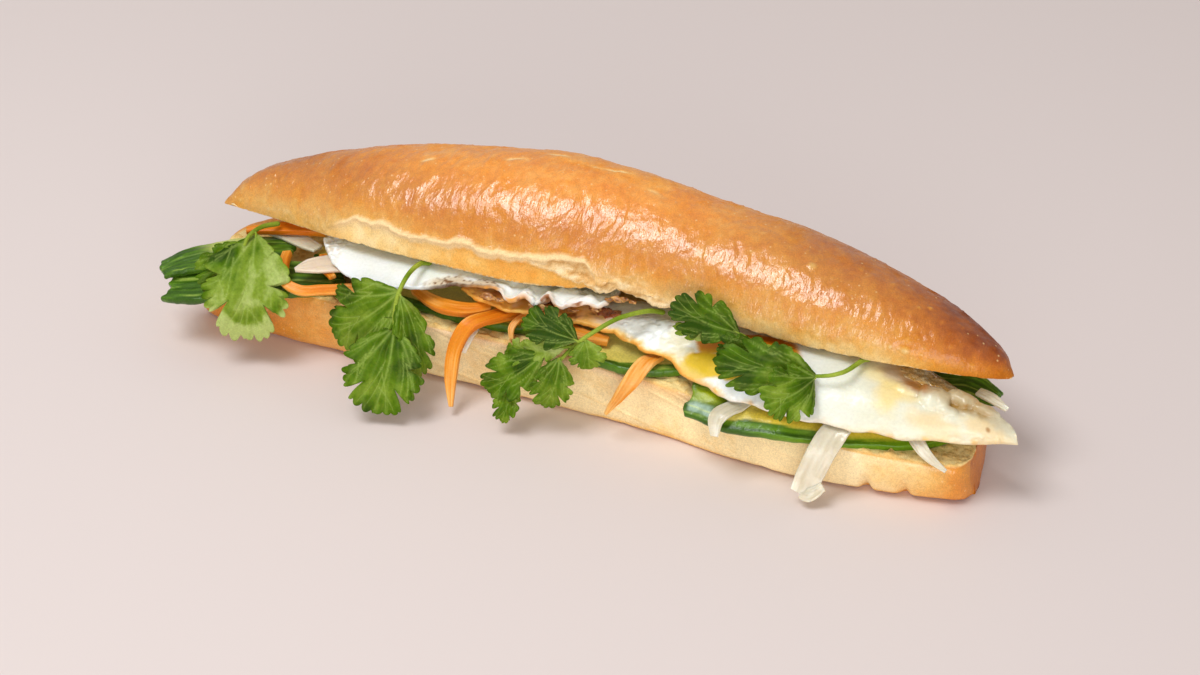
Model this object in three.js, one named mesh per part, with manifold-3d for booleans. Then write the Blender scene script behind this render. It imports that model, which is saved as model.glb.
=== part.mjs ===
// A banh mi: a split roll, hinged at the back and open at the front, filled with cucumber,
// shredded carrot and daikon, two fried eggs and sprigs of cilantro.
// Millimetres. x runs along the roll, y from the open front (-) to the hinge (+), z is up.
import * as THREE from "three";
import Module from "manifold-3d";

const wasm = await Module();
wasm.setup();

// ---------------------------------------------------------------- driving dimensions

// The lower half of the roll: [x, front y, back y, top z]. It lies flat on z = 0.
const BASE_STATIONS = [
  [-134, -13, 2, 15],
  [-131.5, -18.5, 9, 19],
  [-122, -21.3, 18, 21],
  [-95, -22.8, 25, 21],
  [-50, -23.8, 28.5, 21],
  [0, -24.2, 29, 21],
  [34, -26.2, 29, 20.4],
  [52, -29.2, 28.3, 19.2],
  [75, -30.6, 27, 17.4],
  [92, -29.6, 24.5, 16],
  [110, -27, 19.5, 15],
  [120, -25.2, 12, 14.4],
  [124.6, -22.6, 2, 14],
  [125.9, -18.6, -8, 13.8],
];
const BASE_END_LEAN = 2; // how far the foot of the right end stands out past its top
const BASE_EDGE_ROUND = 7; // the soft lower edge along the front and the back
const BASE_CLEFTS = [97, 108.5]; // where the lower front edge is pinched in
const CLEFT_DEPTH = 2.2;
const CLEFT_WIDTH = 2;

// The upper half is tilted open about the hinge line. In its own frame u runs from the
// hinge to the front along the cut face, and v stands square to the cut face.
const HINGE_Y = 28;
const HINGE_Z = 23;
const OPENING = THREE.MathUtils.degToRad(21);
const HINGE_CRUST = { reach: 100, depth: 5.2, height: 6, taper: 34 };

// [x, u of the front edge, u of the back edge, crown height v, lift of the front edge]
const LID_STATIONS = [
  [-131, 31.5, 28.5, 1, 0],
  [-126, 33.2, 22.5, 8.5, 0],
  [-116, 35.2, 15, 15.5, 0],
  [-96, 40.5, 8, 23.6, 0],
  [-78, 46, 4, 29, 0],
  [-55, 49, 1, 33.4, 0],
  [-20, 49.6, 0, 37.8, 0],
  [4, 46.5, 0, 36.8, 2.5],
  [14, 45.6, 0, 35.6, 5.2],
  [30, 46, 0, 33.2, 3.2],
  [60, 47.2, 1, 30, 0.6],
  [90, 46.2, 5.5, 23.4, 0],
  [110, 43, 11, 16.6, 0],
  [121, 39.2, 17, 11.6, 0],
  [129, 34.5, 24, 6.4, 0],
  [132.4, 31, 28, 1, 0],
];
const LID_BULGE = 1.06; // widest girth of the upper half over the width of its cut face
const TEAR = { from: -96, to: 8, height: 8, step: 1.5, lip: 0.7 }; // strip torn off the crust
const FLAKES = { at: 14, reach: 17, depth: 1.3 }; // ragged crust past the end of the strip

const CUCUMBER_THICK = 3;
const CARROT_THICK = 2.3;
const DAIKON_THICK = 1.3;
const EGG_THICK = 3.2;
const EGG_RIM_THICK = 1.4;
const LEAF_THICK = 0.6;
const STEM_RADIUS = 0.85;

// ---------------------------------------------------------------- materials

const crustMaterial = () => surface(0xd9a15a, 0.5);
const cucumberMaterial = () => surface(0x3f6b33, 0.35);
const carrotMaterial = () => surface(0xef9a3c, 0.45);
const daikonMaterial = () => surface(0xe9e4d0, 0.35);
const eggMaterial = () => surface(0xf3efe0, 0.4);
const leafMaterial = () => surface(0x4c8a35, 0.5);

function surface(color, roughness) {
  return new THREE.MeshStandardMaterial({ color, roughness, metalness: 0 });
}

// ---------------------------------------------------------------- numbers along a line

// Smooth values between stations, each [place, value, value, ...].
function valuesAt(stations, place) {
  const last = stations.length - 1;
  let i = 0;
  while (i < last - 1 && place > stations[i + 1][0]) i += 1;
  const slope = (k, column) => {
    const a = stations[Math.max(k - 1, 0)];
    const b = stations[Math.min(k + 1, last)];
    return (b[column] - a[column]) / (b[0] - a[0]);
  };
  const [from, to] = [stations[i], stations[i + 1]];
  const span = to[0] - from[0];
  const t = THREE.MathUtils.clamp((place - from[0]) / span, 0, 1);
  const [t2, t3] = [t * t, t * t * t];
  return from.slice(1).map((value, k) => {
    const c = k + 1;
    const start = (2 * t3 - 3 * t2 + 1) * value + (t3 - 2 * t2 + t) * span * slope(i, c);
    return start + (3 * t2 - 2 * t3) * to[c] + (t3 - t2) * span * slope(i + 1, c);
  });
}

function bump(x, centre, width) {
  return Math.exp(-(((x - centre) / width) ** 2));
}

function fadeIn(x, from, to) {
  return THREE.MathUtils.smoothstep(x, from, to);
}

// A steady small unevenness, between -1 and 1.
function uneven(a, b = 0) {
  return Math.sin(a * 1.7 + b * 2.3 + 0.6) * 0.6 + Math.sin(a * 3.9 - b * 1.3) * 0.4;
}

// Places from a to b, packed closer towards both ends.
function spread(a, b, count) {
  return Array.from({ length: count + 1 }, (_, i) => {
    const t = i / count;
    const eased = (1 - Math.cos(Math.PI * t)) / 2;
    return a + (b - a) * (0.45 * t + 0.55 * eased);
  });
}

function vector(p) {
  return new THREE.Vector3(...p);
}

function smoothPath(points) {
  return new THREE.CatmullRomCurve3(points.map(vector), false, "centripetal");
}

// ---------------------------------------------------------------- solids

// A closed solid from corner points and faces, turned so that its faces point out.
function solid(points, faces) {
  let volume = 0;
  for (const [a, b, c] of faces) {
    const [p, q, r] = [points[a], points[b], points[c]];
    volume += p[0] * (q[1] * r[2] - q[2] * r[1]);
    volume += p[1] * (q[2] * r[0] - q[0] * r[2]);
    volume += p[2] * (q[0] * r[1] - q[1] * r[0]);
  }
  const outward = volume > 0 ? faces : faces.map(([a, b, c]) => [a, c, b]);
  const vertProperties = new Float32Array(points.flat());
  const triVerts = new Uint32Array(outward.flat());
  const made = new wasm.Mesh({ numProp: 3, vertProperties, triVerts });
  made.merge();
  return new wasm.Manifold(made);
}

// Rings of equal length joined one to the next, with a fan over each end.
function loft(rings) {
  const size = rings[0].length;
  const points = rings.flat();
  const faces = [];
  for (let r = 0; r + 1 < rings.length; r += 1) {
    for (let k = 0; k < size; k += 1) {
      const a = r * size + k;
      const b = r * size + ((k + 1) % size);
      faces.push([a, b, b + size], [a, b + size, a + size]);
    }
  }
  const closeEnd = (first, flip) => {
    const ring = points.slice(first, first + size);
    const middle = [0, 1, 2].map((axis) => ring.reduce((sum, p) => sum + p[axis], 0) / size);
    const centre = points.push(middle) - 1;
    for (let k = 0; k < size; k += 1) {
      const [a, b] = [first + k, first + ((k + 1) % size)];
      faces.push(flip ? [centre, b, a] : [centre, a, b]);
    }
  };
  const lastRing = (rings.length - 1) * size;
  closeEnd(0, true);
  closeEnd(lastRing, false);
  return solid(points, faces);
}

// A thin sheet over a grid. place(s, t) is its middle, thick(s, t) its thickness; the two
// faces are split into triangles alike, so that no fold lets one pass through the other.
function sheet(columns, rows, place, thick) {
  const [top, bottom] = [[], []];
  const step = 1e-3;
  for (let i = 0; i <= columns; i += 1) {
    for (let j = 0; j <= rows; j += 1) {
      const [s, t] = [i / columns, j / rows];
      const middle = place(s, t);
      const along = place(s + step, t).sub(place(s - step, t));
      const across = place(s, t + step).sub(place(s, t - step));
      const normal = along.cross(across).normalize();
      const half = thick(s, t) / 2;
      top.push(middle.clone().addScaledVector(normal, half).toArray());
      bottom.push(middle.clone().addScaledVector(normal, -half).toArray());
    }
  }
  const id = (i, j) => i * (rows + 1) + j;
  const below = top.length;
  const faces = [];
  for (let i = 0; i < columns; i += 1) {
    for (let j = 0; j < rows; j += 1) {
      const [a, b, c, d] = [id(i, j), id(i + 1, j), id(i + 1, j + 1), id(i, j + 1)];
      faces.push([a, b, c], [a, c, d]);
      faces.push([a + below, c + below, b + below], [a + below, d + below, c + below]);
    }
  }
  const rim = [];
  for (let i = 0; i < columns; i += 1) rim.push(id(i, 0));
  for (let j = 0; j < rows; j += 1) rim.push(id(columns, j));
  for (let i = columns; i > 0; i -= 1) rim.push(id(i, rows));
  for (let j = rows; j > 0; j -= 1) rim.push(id(0, j));
  rim.forEach((a, k) => {
    const b = rim[(k + 1) % rim.length];
    faces.push([a, a + below, b + below], [a, b + below, b]);
  });
  return solid([...top, ...bottom], faces);
}

// A slice or a shred: a band along a path. widths are its widths at even steps from end to
// end, across its flat direction at even steps, bow the arch of its width.
function band({ path, widths, across, thick, steps, bow = 0, columns = 1 }) {
  const curve = smoothPath(path);
  const sideStations = across.map((side, i) => [i / (across.length - 1), ...side]);
  const widthStations = widths.map((width, i) => [i / (widths.length - 1), width]);
  const place = (s, t) => {
    const at = THREE.MathUtils.clamp(s, 0, 1);
    const tangent = curve.getTangent(at);
    const side = vector(valuesAt(sideStations, at));
    side.addScaledVector(tangent, -side.dot(tangent)).normalize();
    const up = tangent.clone().cross(side).normalize();
    if (up.z < 0) up.negate();
    const point = curve.getPoint(at).addScaledVector(tangent, (s - at) * curve.getLength());
    const [width] = valuesAt(widthStations, at);
    const offset = 2 * t - 1;
    point.addScaledVector(side, (offset * width) / 2);
    return point.addScaledVector(up, bow * (1 - offset * offset));
  };
  return sheet(steps, columns, place, () => thick);
}

// ---------------------------------------------------------------- the roll

function baseRing(x) {
  const [front, back, top] = valuesAt(BASE_STATIONS, x);
  const width = back - front;
  const round = Math.min(BASE_EDGE_ROUND, width * 0.3);
  const pinch = BASE_CLEFTS.reduce((sum, at) => sum + bump(x, at, CLEFT_WIDTH), 0) * CLEFT_DEPTH;
  const sag = 0.35 * uneven(x * 0.11);
  const lean = BASE_END_LEAN * fadeIn(x, 118, 127);
  const outline = [
    [front + round, 0],
    [front + width * 0.36, 0],
    [front + width * 0.5, 0],
    [front + width * 0.64, 0],
    [back - round, 0],
    [back - round * 0.35, top * 0.09],
    [back + 0.5, top * 0.34],
    [back + 1.2, top * 0.62],
    [back + 0.2, top * 0.88],
    [back - 2.5, top],
    [back - width * 0.25, top - 0.4 + sag],
    [back - width * 0.45, top - 0.5 - sag],
    [front + width * 0.35, top - 0.3 + sag],
    [front + width * 0.18, top - 0.1],
    [front + 1.6, top],
    [front + 0.2, top - 1.5],
    [front - 0.3, top * 0.6],
    [front + 0.1 + pinch * 0.5, top * 0.34],
    [front + 1.2 + pinch, top * 0.16],
    [front + 3.4 + pinch, top * 0.04],
  ];
  return outline.map(([y, z]) => [x + lean * (1 - z / top), y, z]);
}

function lidPoint(x, u, v) {
  const y = HINGE_Y - u * Math.cos(OPENING) + v * Math.sin(OPENING);
  const z = HINGE_Z + u * Math.sin(OPENING) + v * Math.cos(OPENING);
  return [x, y, z];
}

// How far round the section, from the front edge (0) over the crown to the back edge (1).
const LID_ROUND = [0, 0.035, 0.07, 0.105, 0.14, 0.18, 0.24, 0.31, 0.39, 0.47, 0.55, 0.63,
  0.71, 0.79, 0.87, 0.94, 1];
const LID_UNDER = [0.16, 0.34, 0.52, 0.7, 0.86]; // across the cut face, back to front

function lidRing(x) {
  const [front, back, crown, lift] = valuesAt(LID_STATIONS, x);
  const centre = (front + back) / 2;
  const half = (front - back) / 2;
  const undercut = Math.acos(1 / LID_BULGE);
  const belly = (crown * Math.sin(undercut)) / (1 + Math.sin(undercut));
  const torn = fadeIn(x, TEAR.from, TEAR.from + 22) * (1 - fadeIn(x, TEAR.to - 8, TEAR.to));
  const ridge = TEAR.height * torn + 0.8 * uneven(x * 0.16);
  const ragged = FLAKES.depth * uneven(x * 1.3) * bump(x, FLAKES.at, FLAKES.reach);
  const ring = LID_ROUND.map((t) => {
    const angle = -undercut + t * (Math.PI + 2 * undercut);
    const v = belly + (crown - belly) * Math.sin(angle);
    const inStrip = torn * (1 - fadeIn(v, ridge - 1.6, ridge + 0.6));
    const onLip = torn * bump(v, ridge + 1.4, 1.6);
    const reach = LID_BULGE * half * Math.cos(angle) - TEAR.step * inStrip + TEAR.lip * onLip;
    const nearEdge = 1 - fadeIn(t, 0, 0.14);
    const u = centre + (t < 0.5 ? reach : LID_BULGE * half * Math.cos(angle));
    return lidPoint(x, u, v + nearEdge * (lift + ragged));
  });
  const edge = centre + half - TEAR.step * torn;
  LID_UNDER.forEach((t, k) => {
    const u = back + (edge - back) * t;
    const arch = lift * fadeIn(t, 0.3, 1);
    ring.push(lidPoint(x, u, arch + 0.35 * (1 + uneven(x * 0.21, k))));
  });
  return ring;
}

function hingeRing(x) {
  const [, baseBack, baseTop] = valuesAt(BASE_STATIONS, x);
  const [, lidBack] = valuesAt(LID_STATIONS, x);
  const [, lidY, lidZ] = lidPoint(x, lidBack, 0);
  const { reach, taper } = HINGE_CRUST;
  const fade = 1 - 0.7 * fadeIn(Math.abs(x), reach - taper, reach);
  const [depth, height] = [HINGE_CRUST.depth * fade, HINGE_CRUST.height * fade];
  const y = (baseBack + lidY) / 2 - depth * 0.62;
  const z = (baseTop + lidZ) / 2;
  return Array.from({ length: 10 }, (_, k) => {
    const angle = (k / 10) * 2 * Math.PI;
    return [x, y + depth * Math.cos(angle), z + height * Math.sin(angle)];
  });
}

function breadRoll() {
  const baseEnds = [BASE_STATIONS[0][0], BASE_STATIONS[BASE_STATIONS.length - 1][0]];
  const lidEnds = [LID_STATIONS[0][0], LID_STATIONS[LID_STATIONS.length - 1][0]];
  const clefts = BASE_CLEFTS.flatMap((x) => [x - CLEFT_WIDTH, x, x + CLEFT_WIDTH]);
  const clear = (x) => BASE_CLEFTS.every((at) => Math.abs(x - at) > 1.5 * CLEFT_WIDTH);
  const basePlaces = [...spread(...baseEnds, 24).filter(clear), ...clefts].sort((a, b) => a - b);
  const base = loft(basePlaces.map(baseRing));
  const lid = loft(spread(...lidEnds, 39).map(lidRing));
  const { reach } = HINGE_CRUST;
  const hinge = loft(spread(-reach, reach, 18).map(hingeRing));
  return base.add(lid).add(hinge);
}

// ---------------------------------------------------------------- the egg sheets

// front and back are the sheet's two long edges, rise is how far it arches above the
// straight line between them, ruffle the waves of its front edge.
function eggSheet({ front, back, rise, ruffle, columns, rows }) {
  const [frontCurve, backCurve] = [smoothPath(front), smoothPath(back)];
  const riseStations = rise.map((height, i) => [i / (rise.length - 1), height]);
  const place = (s, t) => {
    const at = THREE.MathUtils.clamp(s, 0, 1);
    const point = frontCurve.getPoint(at).lerp(backCurve.getPoint(at), t);
    point.x += (s - at) * 100;
    const [height] = valuesAt(riseStations, at);
    point.z += 4 * height * t * (1 - t) * (1.35 - 0.7 * t);
    const wave = ruffle.depth * Math.sin(ruffle.count * 2 * Math.PI * at + ruffle.start);
    const fade = (1 - fadeIn(t, 0, 0.35)) * bump(at, ruffle.at, ruffle.reach);
    point.z += wave * fade;
    point.y += 0.6 * wave * fade;
    return point;
  };
  const thick = (s, t) => {
    const inland = Math.min(t, 1 - t, 2 * s, 2 * (1 - s));
    return EGG_RIM_THICK + (EGG_THICK - EGG_RIM_THICK) * fadeIn(inland, 0, 0.3);
  };
  return sheet(columns, rows, place, thick);
}

const EGG_LEFT = {
  front: [[-92, -8.5, 34], [-86, -16, 32.2], [-76, -22.5, 31.2], [-61, -24, 32.4],
    [-48, -21.6, 34], [-38, -19.5, 36.4], [-27, -20, 37.6], [-17, -20.8, 37.6],
    [-8, -18.4, 37.8], [2, -17.6, 37.8], [8.5, -13.5, 38]],
  back: [[-88, 2, 30.4], [-70, 8, 28.6], [-40, 9, 28.4], [-10, 8, 28.8], [6, 2, 31.4]],
  rise: [0.6, 2.2, 3, 1.6, 0.2, 0, 0],
  ruffle: { count: 9, depth: 0.9, start: 0.6, at: 0.8, reach: 0.22 },
  columns: 24,
  rows: 5,
};

const EGG_RIGHT = {
  front: [[-41, -15, 31.4], [-32, -19.5, 31.4], [-18.5, -20.4, 31.4], [-5.5, -19, 31.4],
    [5.5, -18, 30.6], [14, -19, 29.8], [22, -21.4, 28.6], [37, -26, 27], [52, -31.5, 25.3],
    [64.5, -32, 24.6], [83, -31.4, 23.4], [101, -28.6, 22.6], [118, -24.4, 22.4],
    [132, -20, 22.6], [140, -17, 23]],
  back: [[-38, 0, 28], [-10, 5, 25], [20, 8, 25.6], [50, 8, 27.5], [80, 7, 27.5],
    [104, 1, 30], [119, -6, 29.4], [131, -11.5, 28], [137.5, -14, 25.8]],
  rise: [1.2, 1.8, 1.4, 5.2, 8.2, 5.4, 3.4, 0.6],
  ruffle: { count: 13, depth: 0.35, start: 0, at: 0.6, reach: 0.5 },
  columns: 32,
  rows: 6,
};

// ---------------------------------------------------------------- slices and shreds

const CUCUMBERS = {
  cucumber_left_lower: {
    path: [[-138, -29.9, 17.6], [-129, -29.5, 19.6], [-113, -24.4, 22.7], [-97, -17.5, 22.9],
      [-80, -13, 22.9]],
    widths: [9.5, 14, 17, 17, 12],
    across: [[-0.2, 0.94, 0.34], [0, 1, 0]],
    bow: 0.3,
    thick: 2.8,
  },
  cucumber_left_upper: {
    path: [[-141, -28, 21.4], [-133.4, -23.6, 24], [-118, -15.8, 26.9], [-102, -8, 26.8]],
    widths: [3.6, 9, 14.5, 14],
    across: [[-0.1, 0.92, 0.38], [0, 1, -0.06]],
    bow: 0.4,
    thick: 2.6,
  },
  cucumber_left_inner: {
    path: [[-96, -3, 26.1], [-84, -4, 26.1], [-70, -5, 26.1]],
    widths: [9, 15, 12],
    across: [[0.3, 1, 0], [0, 1, 0]],
    thick: 2,
  },
  cucumber_middle: {
    path: [[-66, -9, 22.9], [-46, -9, 22.9], [-24, -7.6, 22.9], [-6, -6, 22.9]],
    widths: [14, 21, 22, 16],
    across: [[0, 1, 0], [0, 1, 0]],
  },
  cucumber_centre: {
    path: [[-2, -14, 23.1], [8, -15.6, 23.1], [22, -14.8, 22.9], [37, -11, 22.7]],
    widths: [10, 20, 21, 13],
    across: [[0, 1, 0.02], [0, 1, 0.02]],
  },
  cucumber_right: {
    path: [[40, -27, 21.8], [52, -27, 21.75], [70, -24, 21.1], [90, -18.6, 19.5],
      [108, -12, 18], [118, -8, 17.4]],
    widths: [16, 20, 21, 21, 18, 9],
    across: [[-0.1, 0.82, 0.58], [-0.1, 0.96, 0.26], [0, 1, 0.12], [0, 1, 0.02]],
    bow: 0.4,
  },
  cucumber_right_end: {
    path: [[98, 7, 19], [109, 5, 22.6], [119, 3, 25.6], [129.5, 0, 24.8]],
    widths: [8, 11, 10, 5],
    across: [[0, 1, 0.1], [0.1, 0.9, 0.35]],
    thick: 2.6,
  },
};

const CARROTS = {
  carrot_left_top: {
    path: [[-119, -9.6, 31.4], [-110, -6, 32.4], [-102, -3, 32.4], [-95, -0.4, 31.4]],
    widths: [2.2, 4, 4.6, 3.4],
    across: [[0, 1, 0.4], [0, 1, 0]],
    thick: 2,
  },
  carrot_left_bent: {
    path: [[-101.4, -15, 30.4], [-100.2, -20, 29.6], [-97, -26.4, 27.6], [-91, -27.6, 26.4],
      [-85, -25, 26.4], [-76, -20.6, 26.4], [-68, -16.6, 26.4]],
    widths: [3, 3.2, 3.4, 3.4, 3.2],
    across: [[1, 0.4, 0.3], [0, 0.8, 0.6]],
  },
  carrot_left_short: {
    path: [[-92, -9, 28.3], [-88, -15.4, 28.2], [-83.4, -19.4, 28.1]],
    widths: [2.6, 3, 2.4],
    across: [[1, 0.4, 0], [0.6, 0.6, 0.1]],
    thick: 1.4,
  },
  carrot_middle_flat: {
    path: [[-57, -15, 27.4], [-46, -20.2, 27.7], [-37, -20.4, 28.3], [-30, -16.4, 28.3]],
    widths: [3, 4.6, 4.6, 3],
    across: [[0, 0.9, 0.3], [0.2, 0.9, 0.25]],
  },
  carrot_hanging: {
    path: [[-22.4, -12, 27.6], [-26.6, -20, 28.5], [-33, -26.6, 27.2], [-36.6, -29.4, 19.6],
      [-36.4, -33.6, 11.6], [-34.6, -38, 3.4]],
    widths: [5, 5.4, 5.8, 5.4, 4.6, 1.4],
    across: [[0.8, -0.5, 0], [1, 0.3, 0.1]],
    thick: 1.9,
  },
  carrot_middle_cross: {
    path: [[-17, -10, 25.7], [-25, -15.5, 25.7], [-35, -23.6, 25.2]],
    widths: [3, 4.2, 3],
    across: [[0.6, -0.8, 0], [0.6, -0.8, 0]],
    thick: 1.35,
  },
  carrot_thin: {
    path: [[-17.6, -12.4, 27.6], [-19.6, -16.2, 27.6], [-21.4, -20.2, 25.6], [-20.4, -22.8, 22.7]],
    widths: [1.8, 2.2, 2.2, 1.4],
    across: [[1, -0.4, 0], [1, 0.3, 0]],
    thick: 1,
  },
  carrot_centre_flat: {
    path: [[-15, -11.4, 26.7], [-8, -16, 27.6], [1, -18.8, 27.7], [10, -17.8, 26.9]],
    widths: [3.4, 5, 4.6, 3],
    across: [[0.6, 0.8, 0], [-0.3, 0.9, 0.2]],
    thick: 1.9,
  },
  carrot_pointed: {
    path: [[27, -18, 26], [24.4, -24, 26.1], [21.6, -29.9, 21.8], [14.6, -31.8, 10]],
    widths: [4, 5.2, 5, 0.9],
    across: [[1, 0.4, 0], [1, 0.5, 0]],
    thick: 1.7,
  },
};

const DAIKONS = {
  daikon_left_top: {
    path: [[-113, -4.6, 29.6], [-106, -4.8, 29.7], [-99, -6.8, 29.8], [-94, -8.4, 29.8]],
    widths: [3, 5.5, 5.5, 4],
    across: [[0.2, 1, 0], [0, 1, 0]],
    thick: 1.1,
  },
  daikon_left_tip: {
    path: [[-95.4, -22, 29.6], [-91.4, -18.8, 30.2], [-84, -14, 30.1], [-75, -10, 29.9]],
    widths: [1.4, 6.5, 8.5, 6],
    across: [[-0.5, 1, 0.2], [-0.3, 1, 0]],
    thick: 1.1,
  },
  daikon_right_folded: {
    path: [[60.6, -25.8, 24.85], [56.8, -30.4, 23.6], [52.8, -37, 22.3], [53.2, -40.2, 17.6]],
    widths: [3, 5.2, 5.2, 2.4],
    across: [[1, 0.5, 0], [1, 0.2, 0]],
    thick: 0.9,
  },
  daikon_wide: {
    path: [[89.4, -25, 23], [87.4, -30, 21.7], [85.4, -34.2, 17.8], [82.6, -38, 9.4],
      [80.8, -40.6, 4.4]],
    widths: [7, 8.4, 8.6, 8.2, 6.4],
    across: [[1, 0.3, 0], [1, 0.25, 0.2]],
    thick: 1,
  },
  daikon_thin: {
    path: [[107, -18, 20.8], [110.6, -23.4, 21], [115, -26.4, 18.6], [121.6, -28, 15.4]],
    widths: [3, 4.4, 3.4, 1.2],
    across: [[1, 0.3, 0], [0.6, 0.5, 0.5]],
  },
  daikon_end: {
    path: [[123, -2.6, 28.2], [128, -4.4, 28], [133.4, -6.8, 27]],
    widths: [3, 3.6, 1.6],
    across: [[0, 1, 0.2], [0, 1, 0.2]],
    thick: 1,
  },
};

// The tip of the wide daikon shred is doubled back on itself.
const DAIKON_TURN = {
  path: [[80.8, -40.2, 4.6], [83.4, -40.4, 4.6], [87.4, -38.4, 7.4]],
  widths: [3.4, 4.4, 3],
  across: [[0.3, 0.5, 0.8], [-0.4, 0.5, 0.8]],
};

// ---------------------------------------------------------------- cilantro

// Leaflets are fans cut into lobes with a toothed rim. Each row is
// [foot, tip, width, how far the face turns about its midrib in degrees, arch of the midrib].
const LEAF_FACE = new THREE.Vector3(0.31, -0.77, 0.56); // most leaves hang facing this way
const LEAF_TOOTH = 0.13;
const LEAF_CLEFTS = [{ at: 0.78, depth: 0.27 }, { at: 1.62, depth: 0.2 }];
const LEAF_CLEFT_WIDTH = 0.16;
const LEAF_FOOT = 0.5; // of the length, from the foot to the centre that the rim is drawn about
const PETIOLE_RADIUS = 0.5;

const SPRIGS = {
  cilantro_left_end: {
    stalks: [[[-108.2, -6.4, 35], [-111.4, -13, 36.6], [-112.4, -20, 36.8],
      [-112, -24, 35.6]]],
    leaflets: [
      [[-111.4, -17, 36.9], [-105.6, -38.6, 10.4], 29.5, 4, 7.5],
      [[-112.4, -22, 35.8], [-121, -36, 24], 17, -10, 2.5],
    ],
  },
  cilantro_left: {
    stalks: [[[-52, -12.4, 37], [-53.6, -16.6, 39], [-54.4, -24.5, 39.2], [-54.6, -31.4, 36],
      [-54.8, -34, 30.6], [-54.3, -35.4, 25.4], [-53.6, -38.6, 21]]],
    leaflets: [
      [[-54.4, -30.8, 36.6], [-77, -32, 16.4], 24, 8, 2],
      [[-53.8, -31.6, 36.4], [-45.6, -36, 10], 13, -16, 2],
      [[-54.3, -35, 27], [-54.4, -52, 4.8], 27, 4, 2],
    ],
  },
  cilantro_centre: {
    stalks: [
      [[25, -9, 35.7], [22.2, -13.4, 38.4], [14.8, -22, 39], [8.1, -28.4, 35.4],
        [3.6, -30, 31], [-0.6, -33, 25.6]],
      [[3.6, -30, 31], [-3, -32, 29.6], [-10, -33.6, 25], [-14.5, -36, 17]],
    ],
    leaflets: [
      [[5, -30, 33], [-13.6, -28.4, 36.4], 14, 16, 1],
      [[1, -31, 30.4], [-12, -32.6, 28.6], 9, -16, 1],
      [[7, -29.2, 34], [9.4, -31.6, 25], 12, 10, 1],
      [[-9, -33.6, 26.4], [-19.6, -31, 23.4], 10, 24, 1],
      [[-5, -33, 27.6], [-22.4, -38.6, 13.4], 16, 4, 1.5],
      [[0, -32.8, 27.4], [-3.2, -37.6, 11.6], 14, -10, 1.5],
      [[-13.6, -35.8, 18], [-15.8, -42, 5.2], 9, 16, 1],
    ],
  },
  cilantro_right_upper: {
    stalks: [[[69, -16.4, 38.2], [63, -18.8, 38.8], [58, -20.4, 40.4], [53, -20.4, 42.4]]],
    leaflets: [
      [[54, -20.6, 42.2], [32, -24.4, 48.6], 18, 10, 1],
      [[59, -20.8, 40.2], [48.6, -27.4, 37.6], 12, -10, 0.6],
      [[51, -21.2, 42.6], [33.6, -25, 42.4], 7, -14, 0.5],
    ],
  },
  cilantro_right_lower: {
    stalks: [[[91.2, -10.4, 36.6], [90.2, -13.6, 38], [87, -22.4, 38.5], [83, -25, 37.8],
      [78.6, -25.8, 37]]],
    leaflets: [
      [[80, -25.6, 37.2], [48.5, -30.4, 37.6], 18, 10, 1],
      [[79.6, -25.8, 37], [68.2, -39.6, 32.4], 19, -12, 1.6],
    ],
  },
};

// Where the rim lies at an angle about the leaflet's centre: [along the midrib, across it].
function leafRim(angle, length, width) {
  const turned = angle > Math.PI ? 2 * Math.PI - angle : angle;
  const cut = LEAF_CLEFTS.reduce(
    (sum, cleft) => sum + cleft.depth * bump(turned, cleft.at, LEAF_CLEFT_WIDTH), 0);
  const reach = (1 - cut) * (1 + 0.05 * uneven(angle * 2, width));
  const ahead = Math.cos(angle);
  const outward = ahead > 0 ? Math.abs(Math.sin(angle)) ** 0.85 : 1 - Math.abs(ahead) ** 1.8;
  const half = ahead > 0 ? 1 - LEAF_FOOT : LEAF_FOOT;
  const side = Math.sign(Math.sin(angle)) * (width / 2) * outward;
  return [length * half * ahead * (ahead > 0 ? reach : 1), side * reach];
}

function leaflet([foot, tip, width, turn, arch]) {
  const [from, to] = [vector(foot), vector(tip)];
  const length = from.distanceTo(to);
  const teeth = Math.round(5 + width * 0.42);
  const along = to.sub(from).normalize();
  const face = LEAF_FACE.clone().addScaledVector(along, -LEAF_FACE.dot(along)).normalize();
  face.applyAxisAngle(along, THREE.MathUtils.degToRad(turn));
  const across = face.clone().cross(along);
  const place = (angle, scale, lift) => {
    const [ahead, side] = leafRim(angle, length, width).map((reach) => reach * scale);
    const s = length * LEAF_FOOT + ahead;
    const arched = 4 * arch * (s / length) * (1 - s / length);
    const wavy = 0.035 * length * scale * scale * Math.sin(4 * angle + turn);
    const point = from.clone().addScaledVector(along, s).addScaledVector(across, side);
    return point.addScaledVector(face, arched + wavy + 0.08 * Math.abs(side) + lift).toArray();
  };
  const points = [];
  const outer = 2 * teeth;
  for (const lift of [LEAF_THICK / 2, -LEAF_THICK / 2]) {
    points.push(place(0, 0, lift));
    for (let k = 0; k < teeth; k += 1) points.push(place((2 * Math.PI * k) / teeth, 0.55, lift));
    for (let k = 0; k < outer; k += 1) {
      points.push(place((2 * Math.PI * k) / outer, k % 2 ? 1 - LEAF_TOOTH : 1, lift));
    }
  }
  const under = 1 + teeth + outer; // the lower face repeats the upper one's points
  const faces = [];
  for (let k = 0; k < teeth; k += 1) {
    const [m, n] = [1 + k, 1 + ((k + 1) % teeth)];
    const [a, b, c] = [0, 1, 2].map((step) => 1 + teeth + ((2 * k + step) % outer));
    for (const [p, q, r] of [[0, m, n], [m, a, b], [m, b, n], [n, b, c]]) {
      faces.push([p, q, r], [p + under, r + under, q + under]);
    }
    for (const [p, q] of [[a, b], [b, c]]) {
      faces.push([p, p + under, q + under], [p, q + under, q]);
    }
  }
  return solid(points, faces);
}

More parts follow.
